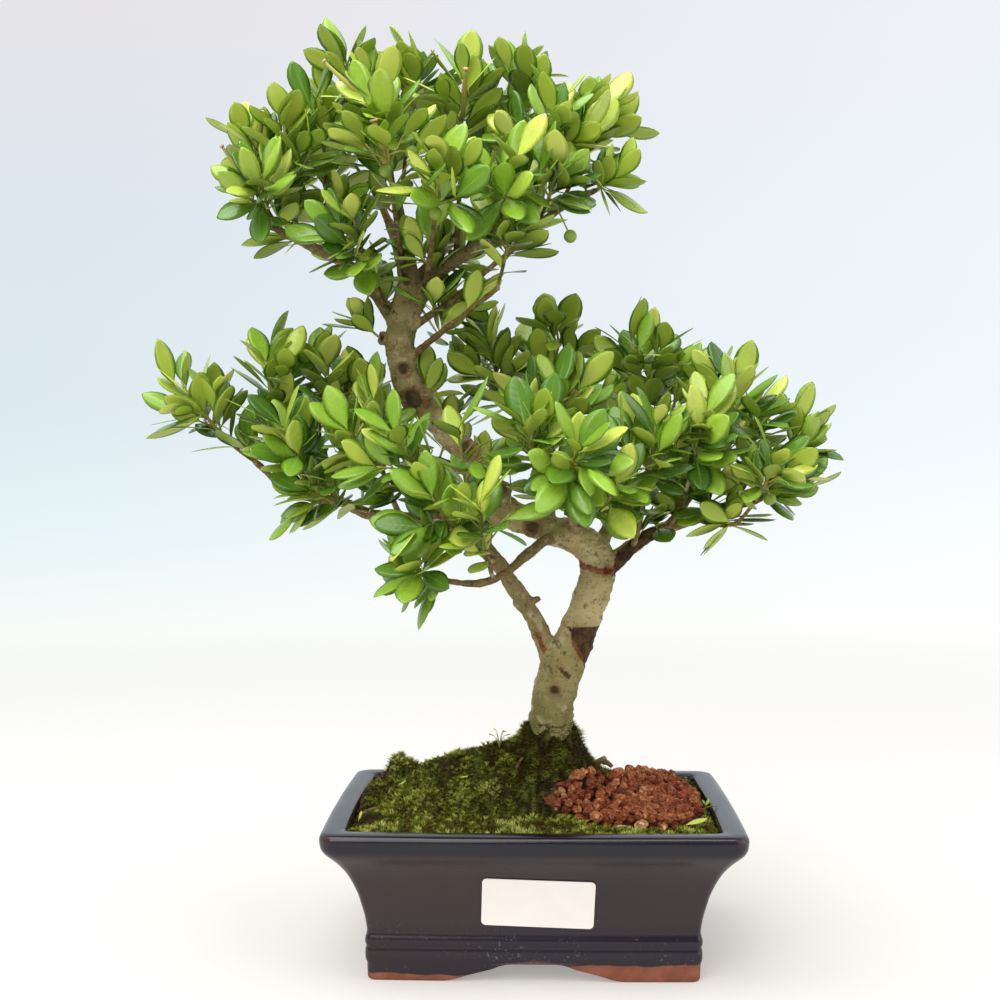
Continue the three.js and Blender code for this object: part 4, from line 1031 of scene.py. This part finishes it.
# Pale, green and brown spots: scale, where they begin and end, strength and colour.
for scale, low, high, share, tint in [
    (120, 0.54, 0.66, 0.6, (226, 216, 176)), (100, 0.52, 0.64, 0.55, (126, 122, 60)),
    (170, 0.6, 0.7, 0.5, (142, 100, 62)), (270, 0.585, 0.67, 0.75, (82, 76, 38)),
    (600, 0.59, 0.68, 0.6, (88, 72, 42)),
]:
    spots = calculate(tree, "MULTIPLY", mask(tree, where, scale, low, high, 0.6), share)
    skin = mix(tree, spots, skin, colour(*tint))
grain = mask(tree, where, 300, 0.4, 0.6)
skin = mix(tree, dark_of, skin, mix(tree, grain, colour(58, 42, 26), colour(96, 72, 44)))
skin = mix(tree, orange_of, skin, mix(tree, grain, colour(116, 66, 36), colour(160, 98, 60)))
connect(tree, skin, shader.inputs["Base Color"])
shader.inputs["Roughness"].default_value = 0.8
shader.inputs["Specular IOR Level"].default_value = 0.3
bump(tree, shader, mask(tree, stretched, 360, 0.3, 0.7, 0.7), 0.8, 0.0012)
wood.data.materials.append(bark)
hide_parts("wood")
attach(wood, "root")

# The sprays: fifty leafy shoots, each replacing its own node. The leaves of the frame are grown
# again from the same numbers, in their real outline, and smaller ones fill in between them.
LEAF_LENGTH, LEAF_WIDTH, LEAF_ARCH, SPREAD_ANGLE = 23, 12, 0.1, 137.5
LEAF_OUTLINE = [(0.17, 0.16), (0.48, 1), (0.82, 0.74)]
BERRY_RADIUS = 2.9
# The spray and the middle of each berry, then the end and radius of each pruned shoot.
BERRIES = [
    ("crown_front_1", (-63, -58, 349)), ("crown_front_1", (-52, -56, 357)),
    ("crown_front_2", (-42, -56, 331)), ("crown_front_5", (16, -38, 324)),
    ("right_6", (104, -34, 209)),
]
PRUNED_SHOOTS = [
    ((-91, -44, 399), 1.1), ((-67, -66, 368), 1.8), ((-122, -24, 382), 1.1),
    ((-143, -10, 370), 1.0), ((-30, -34, 398), 1.1),
]


def repeatable(seed):
    """The frame's own stream of random numbers between 0 and 1."""
    state = seed
    while True:
        state = (state + 0x6D2B79F5) & 0xFFFFFFFF
        t = ((state ^ (state >> 15)) * (1 | state)) & 0xFFFFFFFF
        t = (((t + ((t ^ (t >> 7)) * (61 | t))) & 0xFFFFFFFF) ^ t) & 0xFFFFFFFF
        yield ((t ^ (t >> 14)) & 0xFFFFFFFF) / 4294967296


def outwards(along, angle):
    """Unit vector at right angles to a line, turned round it by an angle."""
    first = unit(np.cross(along, (0.31, 0.94, 0.13)))
    return first * math.cos(angle) + np.cross(along, first) * math.sin(angle)


def point_on(points, share):
    """The point at a share of a line, and the line's direction there."""
    spot = share * (len(points) - 1)
    i = min(int(spot), len(points) - 2)
    return points[i] + (points[i + 1] - points[i]) * (spot - i), unit(points[i + 1] - points[i])


def leaf_at(points, share, azimuth, tilt, size):
    """A leaf as its base, its direction, its upper side's normal, and its length and width."""
    base, along = point_on(points, share)
    out = outwards(along, azimuth)
    heading = unit(along * math.cos(tilt) + out * math.sin(tilt) + (0, 0, 0.15))
    normal = along * math.sin(tilt) - out * math.cos(tilt) + (0, 0, 0.5)
    normal = unit(normal - heading * normal.dot(heading))
    length, width = LEAF_LENGTH * size, LEAF_WIDTH * size
    return {"base": base, "heading": heading, "normal": normal, "length": length, "width": width}


def leaf_samples(leaf):
    """Points spread over a leaf, for telling how near it comes to its neighbours."""
    spots = [(1, 0)]
    for share, side in [*LEAF_OUTLINE, (0.32, 0.6), (0.65, 0.9)]:
        spots += [(share, s * side) for s in (-0.8, 0, 0.8)]
    share, side = np.array(spots, float).T[:, :, None]
    across = np.cross(leaf["normal"], leaf["heading"]) * side * leaf["width"] / 2
    along = leaf["heading"] * share * leaf["length"]
    drop = leaf["normal"] * LEAF_ARCH * leaf["length"] * share ** 2
    return leaf["base"] + along - drop + across


class Taken:
    """Points used by wood, shoots and leaves, with how near another leaf may come to them."""

    def __init__(self, most=160000):
        self.points, self.owners = np.zeros((most, 3)), np.zeros(most, int)
        self.reach, self.count = np.zeros((most, 2)), 0

    def add(self, points, owner, reach, own_reach):
        """Adds points that leaves keep off by a reach, and leaves of their owner by another."""
        span = slice(self.count, self.count + len(points))
        self.points[span], self.owners[span], self.reach[span] = points, owner, (reach, own_reach)
        self.count += len(points)

    def clear_of(self, samples, owner, scale=1.0):
        """True where a leaf's samples come too near to none of the points."""
        points = self.points[:self.count]
        low, high = samples.min(axis=0) - 16, samples.max(axis=0) + 16
        close = np.flatnonzero((points[:, 2] > low[2]) & (points[:, 2] < high[2]))
        close = close[((points[close] > low) & (points[close] < high)).all(axis=1)]
        own = self.owners[close] == owner
        near = np.where(own, self.reach[close, 1], self.reach[close, 0]) * scale
        gaps = np.linalg.norm(self.points[close][:, None] - samples[None], axis=2).min(axis=1)
        return bool(np.all((near == 0) | (gaps > near)))


def take_line(taken, points, radius, owner):
    """Adds a line of wood to the points that are taken."""
    for a, b in zip(points, points[1:]):
        steps = math.ceil(np.linalg.norm(np.subtract(b, a)) / 3)
        taken.add(np.linspace(a, b, steps + 1), owner, radius + 2.4, 0)


sprays = []
for region, rows in SPRAYS.items():
    for i, (limb, number, tip) in enumerate(rows):
        stream = repeatable(1000 + 17 * len(sprays))
        stem = spray_stem(limb, number, tip)
        leader = stem_points(stem, stem["wood"] + 0.3 / stem["length"], 1, 2)
        root, along = point_on(leader, 0.3)
        heading = unit(along * 0.72 + outwards(along, 2 * math.pi * next(stream)) * 0.7)
        branch = [root, root + heading * 0.62 * np.linalg.norm(leader[2] - leader[0])]
        spray = {"name": f"{region}_{i + 1}", "stream": stream, "stem": stem, "leaves": []}
        spray["shoots"] = [(leader, 5), (branch, 3)]
        sprays.append(spray)

taken = Taken()
low_corner, high_corner = np.array(cad_box[0]), np.array(cad_box[1])


def settle(points, share, size, phase, number, step, tilts, owner, nearness=1.0, past=math.inf):
    """Tries a leaf at some tilts, turned a step further each time, until it has room."""
    for attempt, tilt in enumerate(tilts):
        azimuth = phase + math.radians(number * SPREAD_ANGLE + attempt * step)
        leaf = leaf_at(points, share, azimuth, math.radians(tilt), size)
        samples = leaf_samples(leaf)
        in_metres = samples * MM + (POT_X, POT_Y, 0)
        if (in_metres < low_corner - past).any() or (in_metres > high_corner + past).any():
            continue
        if taken.clear_of(samples, owner, nearness):
            leaf["share"] = share
            taken.add(samples, owner, 3.6, 2.4)
            return [leaf]
    return []


for points, radii in LIMBS.values():
    take_line(taken, points, radii[1], -1)
for number, spray in enumerate(sprays):
    take_line(taken, stem_points(spray["stem"], 0, spray["stem"]["wood"], 2), 1.6, -1)
    for points, leaves in spray["shoots"]:
        take_line(taken, points, 0.8, number)
for owner, centre in BERRIES:
    taken.add([centre], -1, 5.9, 0)
for number, spray in enumerate(sprays):
    for points, leaves in spray["shoots"]:
        phase = 2 * math.pi * next(spray["stream"])
        for i in range(leaves):
            share = 0.96 - 0.8 * (leaves - 1 - i) / leaves
            size = 0.86 + 0.28 * next(spray["stream"])
            tilts = (66 - 34 * share + (attempt % 3) * 9 for attempt in range(7))
            spray["leaves"] += settle(points, share, size, phase, i, 51, tilts, number)

# In front of these places no small leaf grows, so that the trunk, the berries and the cuts show.
WINDOWS = [(-56, 256), (-58, 276), (-30, 236), (-3, 197), (24, 186)]
views = [((x, -10.0, z), 24) for x, z in WINDOWS]
views += [(centre, 13) for owner, centre in BERRIES]
views += [(end, 9) for end, radius in PRUNED_SHOOTS]
for centre, reach in views:
    for ahead in np.arange(6, centre[1] + 100, 6):
        taken.add([np.subtract(centre, (0, ahead, 0))], -1, reach, reach)

draw = random.Random(77)


def grow_leaves(points, leaves, owner, first=0.1, nearness=0.55):
    """Smaller leaves round a shoot, wherever there is room for them inside the frame's own box."""
    grown = []
    phase = draw.uniform(0, 6.28)
    for i in range(leaves):
        share = 1.0 - (1 - first) * (leaves - 1 - i) / leaves
        size = draw.uniform(0.65, 1.08)
        tilts = (60 - 34 * share + draw.uniform(-8, 16) for attempt in range(9))
        grown += settle(points, share, size, phase, i, 47, tilts, owner, nearness, 0.002)
    return grown


for number, spray in enumerate(sprays):
    leader = spray["shoots"][0][0]
    extra = []
    for share, reach in [(0.12, 0.6), (0.55, 0.5), (0.42, 0.45)]:
        root, along = point_on(leader, share)
        heading = unit(along * 0.7 + outwards(along, draw.uniform(0, 6.28)) * 0.75 + (0, 0, 0.2))
        extra.append([root, root + heading * reach * np.linalg.norm(leader[2] - leader[0])])
    low = stem_points(spray["stem"], 0.5 * spray["stem"]["wood"], spray["stem"]["wood"], 2)
    lines = [leader, spray["shoots"][1][0], *extra, low]
    for points, leaves in zip(lines, (6, 4, 6, 5, 5, 3)):
        spray["leaves"] += grow_leaves(points, leaves, number)
    spray["extra"] = extra

# Rows across a leaf: share of its length and of its width; columns: share of the row's width.
ROWS = [
    (0, 0.07), (0.1, 0.1), (0.2, 0.36), (0.33, 0.72), (0.47, 0.94), (0.6, 1.0), (0.74, 0.92),
    (0.86, 0.68), (0.95, 0.34), (1, 0.05),
]
COLUMNS = [-1, -0.5, 0, 0.5, 1]
leaf_shares, leaf_sides, leaf_lifts, leaf_faces, number_of = [], [], [], [], {}
for row, (share, wide) in enumerate(ROWS):
    for column, side in enumerate(COLUMNS):
        for layer in (0, 1):
            shared = row in (0, len(ROWS) - 1) or abs(side) == 1
            if shared and layer:
                number_of[row, column, 1] = number_of[row, column, 0]
                continue
            number_of[row, column, layer] = len(leaf_shares)
            leaf_shares.append(share)
            leaf_sides.append(side * wide)
            groove = 0.12 if side == 0 and layer == 0 else 0
            leaf_lifts.append(0 if shared else (0.16 if layer == 0 else -0.16) - groove)
for row in range(len(ROWS) - 1):
    for column in range(len(COLUMNS) - 1):
        for layer in (0, 1):
            corners = [(row, column), (row, column + 1), (row + 1, column + 1), (row + 1, column)]
            face = tuple(number_of[r, c, layer] for r, c in corners)
            leaf_faces.append(face if layer == 1 else face[::-1])
leaf_shares, leaf_sides, leaf_lifts = map(np.array, (leaf_shares, leaf_sides, leaf_lifts))


def leaf_body(leaf):
    """Points of one leaf: narrow stalk, widest past its middle, arched, cupped and twisted."""
    heading, normal, length = leaf["heading"], leaf["normal"], leaf["length"]
    width = leaf["width"] * draw.uniform(0.78, 1.02)
    across = np.cross(normal, heading)
    twist = draw.uniform(-0.35, 0.35)
    cup, arch = draw.uniform(-0.28, 0.16), draw.uniform(0.04, 0.2)
    lean = np.clip(leaf_shares - 0.2, 0, 1) * twist
    reach = leaf_sides * width / 2
    sideways = reach * np.cos(lean)
    lift = leaf_lifts - arch * length * leaf_shares ** 2 + cup * np.abs(reach)
    lift = lift + reach * np.sin(lean)
    along = np.outer(leaf_shares * length, heading)
    return leaf["base"] + along + np.outer(sideways, across) + np.outer(lift, normal)


foliage, tree, shader, where = new_material("foliage")
tone, kind, across, along = (marked(tree, name) for name in ("tone", "kind", "across", "along"))
upper = ramp(tree, tone, [
    (0.0, (62, 98, 26)), (0.3, (98, 142, 38)), (0.6, (146, 184, 52)), (1.0, (206, 218, 92)),
])
under = ramp(tree, tone, [
    (0.0, (132, 154, 48)), (0.4, (170, 190, 66)), (0.7, (196, 210, 84)), (1.0, (218, 226, 114)),
])
off_rib = calculate(tree, "ABSOLUTE", across)
fade = calculate(tree, "SUBTRACT", 1.0, along)
rib = calculate(tree, "MULTIPLY", rescale(tree, off_rib, 0.07, 0.015), fade)
upper = mix(tree, calculate(tree, "MULTIPLY", rib, 0.7), upper, colour(170, 192, 96))
under = mix(tree, calculate(tree, "MULTIPLY", rib, 0.35), under, colour(196, 206, 110))
mottle = mask(tree, where, 200, 0.3, 0.7)
upper = mix(tree, mottle, mix(tree, 0.15, upper, colour(40, 74, 24)), upper)
stalk = mix(tree, tone, colour(124, 106, 50), colour(180, 176, 84))
fruit = mix(tree, mottle, colour(122, 150, 50), colour(152, 176, 70))
is_under = calculate(tree, "GREATER_THAN", kind, 0.25)
blade = mix(tree, is_under, upper, under)
blade = mix(tree, calculate(tree, "GREATER_THAN", kind, 0.6), blade, stalk)
blade = mix(tree, calculate(tree, "GREATER_THAN", kind, 0.75), blade, colour(206, 160, 118))
blade = mix(tree, calculate(tree, "GREATER_THAN", kind, 0.9), blade, fruit)
connect(tree, blade, shader.inputs["Base Color"])
wax = calculate(tree, "MULTIPLY_ADD", mottle, 0.1, 0.22)
connect(tree, calculate(tree, "MULTIPLY_ADD", is_under, 0.25, wax), shader.inputs["Roughness"])
ribbing = calculate(tree, "MULTIPLY_ADD", off_rib, -9.0, calculate(tree, "MULTIPLY", along, 50.0))
bump(tree, shader, calculate(tree, "SINE", ribbing), 0.1, 0.0001)

bpy.ops.object.select_all(action="DESELECT")
bpy.ops.mesh.primitive_uv_sphere_add(segments=20, ring_count=12, radius=1)
berry_points, berry_faces = taken_apart(bpy.context.object)
berry_points = np.array(berry_points)


def leafy_piece(name, shoots, leaves, berries=(), cuts=()):
    """One mesh of green shoots with leaves, berries and cut ends, marked for its material."""
    parts, marks = [], {"tone": [], "kind": [], "across": [], "along": []}

    def add(body, tone, kind, across=1.0, along=0.0):
        """Adds one body and the marks of its points."""
        parts.append(body)
        for mark, value in zip(marks.values(), (tone, kind, across, along)):
            mark.extend(np.broadcast_to(value, len(body[0])))

    for points, radius in shoots:
        line, radii = smooth_line(points, [radius] * (len(points) - 1) + [radius * 0.6], 3)
        add(loft(tube_rings(line, radii, 6)), draw.uniform(0.3, 0.9), 0.7)
    for leaf in leaves:
        points = [tuple(place(*point)) for point in leaf_body(leaf)]
        tone = clamp(draw.gauss(0.3 + 0.25 * leaf["share"], 0.24))
        add((points, leaf_faces), tone, np.where(leaf_lifts < 0, 0.5, 0), leaf_sides, leaf_shares)
    for root, centre in berries:
        points = [tuple(place(*(centre + BERRY_RADIUS * point))) for point in berry_points]
        add((points, berry_faces), 0.5, 1.0)
        middle = (root + centre) / 2 + (0, 0, 1.2)
        line, radii = smooth_line([root, middle, centre], [0.45, 0.35, 0.4])
        add(loft(tube_rings(line, radii, 6)), 0.6, 0.7)
    for end, before, radius in cuts:
        rim = end + unit(end - before) * 0.9
        add(loft(tube_rings([end, rim], [radius, radius * 0.92], 12)), 0.5, 0.8)
    piece = new_piece(name, *join_parts(parts))
    for mark, values in marks.items():
        set_attribute(piece, mark, values)
    bpy.ops.object.shade_smooth()
    piece.data.materials.append(foliage)
    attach(piece, "root")
    return piece


for spray in sprays:
    leader, branch = (points for points, leaves in spray["shoots"])
    shoots = [(leader, 0.8), (branch, 0.55)] + [(points, 0.5) for points in spray["extra"]]
    spots = [point_on(points, i / 10)[0] for points in (leader, branch) for i in range(3, 11)]
    berries = []
    for owner, centre in BERRIES:
        if owner == spray["name"]:
            root = min(spots, key=lambda spot: np.linalg.norm(spot - centre))
            berries.append((root, np.array(centre, float)))
    piece = leafy_piece("leafy_" + spray["name"], shoots, spray["leaves"], berries)
    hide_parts("spray_" + spray["name"])

# The inner shoots: short leafy shoots that fill the crown between the sprays, each grown from the
# nearest twig below it, and shoots that were pruned and end in a pale round cut.
INNER_SHOOTS = {
    "crown_left": [
        (-85, -12, 418), (-95, 4, 416), (-94, 6, 362), (-83, -20, 348), (-105, 2, 346),
        (-111, -14, 345), (-120, -4, 332), (-138, -10, 383), (-107, 18, 389), (-74, 20, 394),
        (-78, -8, 350), (-64, 18, 375), (-118, 8, 372), (-97, -28, 372), (-104, -10, 360),
        (-70, 4, 372),
    ],
    "crown_right": [
        (11, 0, 403), (5, 6, 414), (35, -12, 392), (-32, 0, 410), (-11, 6, 412), (-29, 0, 376),
        (24, -12, 355), (48, -20, 358), (-45, 22, 394), (-16, 24, 390), (3, 14, 373),
        (-35, -26, 353), (-6, 6, 346), (-15, -12, 332), (-20, -36, 372), (14, -24, 366),
    ],
    "crown_low": [
        (-55, 12, 342), (-50, -12, 322), (-43, 8, 337), (-23, 5, 324), (-58, -24, 325),
        (-44, -14, 304), (-36, 4, 293), (-34, 10, 311), (-28, -8, 303), (-65, -14, 317),
        (-70, 8, 308), (-87, -6, 300), (-92, 6, 330),
    ],
    "left": [
        (-59, -20, 248), (-54, -34, 238), (-140, -14, 253), (-133, -20, 242), (-122, -4, 284),
        (-105, 4, 280), (-152, -24, 260), (-83, -24, 231), (-98, -10, 222), (-115, 4, 236),
        (-68, -36, 217), (-92, -20, 258), (-78, 10, 240), (-66, -30, 262), (-112, -22, 258),
        (-174, -24, 268), (-166, -28, 272),
    ],
    "middle": [
        (-25, 16, 295), (-21, 22, 260), (-46, 22, 269), (-38, 30, 258), (-51, 10, 271),
        (-7, -30, 217), (-8, 8, 273), (1, 14, 302), (9, 4, 301), (1, -10, 235), (12, -14, 254),
        (25, -30, 235), (11, -44, 222), (-28, -46, 222), (-40, -50, 209), (-16, 20, 236),
        (31, 0, 277), (20, 10, 262), (-34, -30, 238), (-14, -36, 232), (28, -20, 262),
    ],
    "right": [
        (77, 2, 273), (100, 0, 264), (118, 6, 250), (42, -18, 200), (34, -34, 208), (88, -14, 217),
        (77, -26, 213), (61, -18, 209), (66, -6, 227), (51, -26, 205), (27, -36, 201),
        (112, -20, 211), (121, -14, 212), (127, -18, 222), (79, -22, 198), (92, -22, 205),
        (50, 10, 245), (60, -30, 228), (84, 10, 246), (106, -8, 232), (58, 6, 262), (46, -24, 248),
        (98, -30, 236),
    ],
    "low": [(-50, -68, 174), (-63, -64, 178), (-57, -60, 170), (-44, -58, 190), (-30, -60, 196)],
}
starts = [point for point, radius, name in skeleton if radius < 5]
for spray in sprays:
    starts += stem_points(spray["stem"], 0.3, 0.95, 5)
starts = np.array(starts)


def shoot_to(tip, shortest=12, leaf_room=13):
    """A line that bends up towards a tip from the nearest twig below, with room for leaves."""
    tip = np.array(tip, float)
    far = np.linalg.norm(starts - tip, axis=1)
    too_high = np.clip(starts[:, 2] - tip[2] + 10, 0, None)
    start = starts[(far + 1.5 * too_high + 100 * (far < shortest)).argmin()]
    tip = start + (tip - start) * max(1 - leaf_room / np.linalg.norm(tip - start), 0.4)
    bend = start * (0.5, 0.5, 0.75) + tip * (0.5, 0.5, 0.25)
    return bent_line((start, bend, tip), (0, 0.25, 0.5, 0.75, 1))


for number, (region, tips) in enumerate(INNER_SHOOTS.items()):
    lines = [shoot_to(tip) for tip in tips]
    leaves = []
    for i, line in enumerate(lines):
        leaves += grow_leaves(line, 10, 100 + 30 * number + i, 0.25, 0.5)
    leafy_piece("inner_" + region, [(line, 0.6) for line in lines], leaves)
lines = [(shoot_to(tip, 20, 0), radius) for tip, radius in PRUNED_SHOOTS]
cuts = [(line[-1], line[-2], 1.05 * radius) for line, radius in lines]
leafy_piece("pruned_shoots", lines, [], cuts=cuts)

# Odds and ends on the ground: a seedling in the moss, and a few fallen, yellow leaves that lie
# curled on the moss and at the edge of the granules.
SEEDLING = (-16, 0, 92)
# The foot, direction and length of each fallen leaf.
GROUND_LEAVES = [
    ((80, -1, 64.5), (0.3, 0, 1), 4.5), ((81, 0, 64.5), (-0.5, 0.2, 1), 4),
    ((66, -44, 66.5), (0.9, 0.3, 0.35), 11), ((-78, -34, 65), (0.2, -0.1, 1), 5),
    ((-63, -5, 75), (0.8, -0.2, 0.7), 4.5), ((-34, -13, 80.5), (1, -0.3, 0.4), 4),
]
stalks, leaves = [], []
for turn in range(6):
    foot = np.array(SEEDLING, float)
    side = np.array((math.cos(turn * 1.1), math.sin(turn * 1.1), 0))
    tip = foot + side * 2.4 + (0, 0, 5.5 + turn % 3)
    stalks.append(([foot, foot + side * 0.8 + (0, 0, 3), tip], 0.2))
    leaves.append((tip, side + (0, 0, 0.4), 2.8))
for base, heading, length in GROUND_LEAVES:
    leaves.append((np.array(base, float), np.array(heading, float), length))
small = []
for base, heading, length in leaves:
    heading = unit(heading)
    normal = unit(np.array((0, -0.3, 1)) - heading * heading.dot((0, -0.3, 1)))
    leaf = {"base": base, "heading": heading, "normal": normal, "length": length}
    small.append({**leaf, "width": 0.4 * length, "share": 1.5})
leafy_piece("ground_leaves", stalks, small)

# The twigs: thin brown wood, thicker at the foot, that grows out of each limb and carries one
# spray. A few dead twigs and a bit of root lie on the moss and the granules.
# The two ends and the radius of each dead twig.
GROUND_TWIGS = [
    ((76, -17, 67), (84, -13, 68), 0.35), ((-78, -25, 66), (-70, -24, 69), 0.9),
    ((-8, -11, 84), (-5, -14, 90), 0.9), ((0, -18, 79), (6, -21, 82), 0.9),
    ((27, 9, 80), (34, 7, 86), 2.0), ((33, 8, 84), (37, 6, 82), 1.6),
    ((35, -47, 66), (41, -49, 67), 0.7),
]
parts = []
for spray in sprays:
    stem = spray["stem"]
    line = stem_points(stem, 0, stem["wood"] + 0.04, 6)
    radii = list(np.linspace(stem["root"], 0.85, len(line)))
    parts.append(loft(tube_rings(line, radii, 8)))
for start, end, radius in GROUND_TWIGS:
    middle = np.add(start, end) / 2 + (0, 0, 0.6)
    line, radii = smooth_line([start, middle, end], [radius, radius * 0.8, radius * 0.6])
    parts.append(loft(tube_rings(line, radii, 8)))
twigs = new_piece("woody_twigs", *join_parts(parts))
for name in BARK_MARKS:
    set_attribute(twigs, name, [0.0] * len(twigs.data.vertices))
bpy.ops.object.shade_smooth()
twigs.data.materials.append(bark)
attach(twigs, "root")
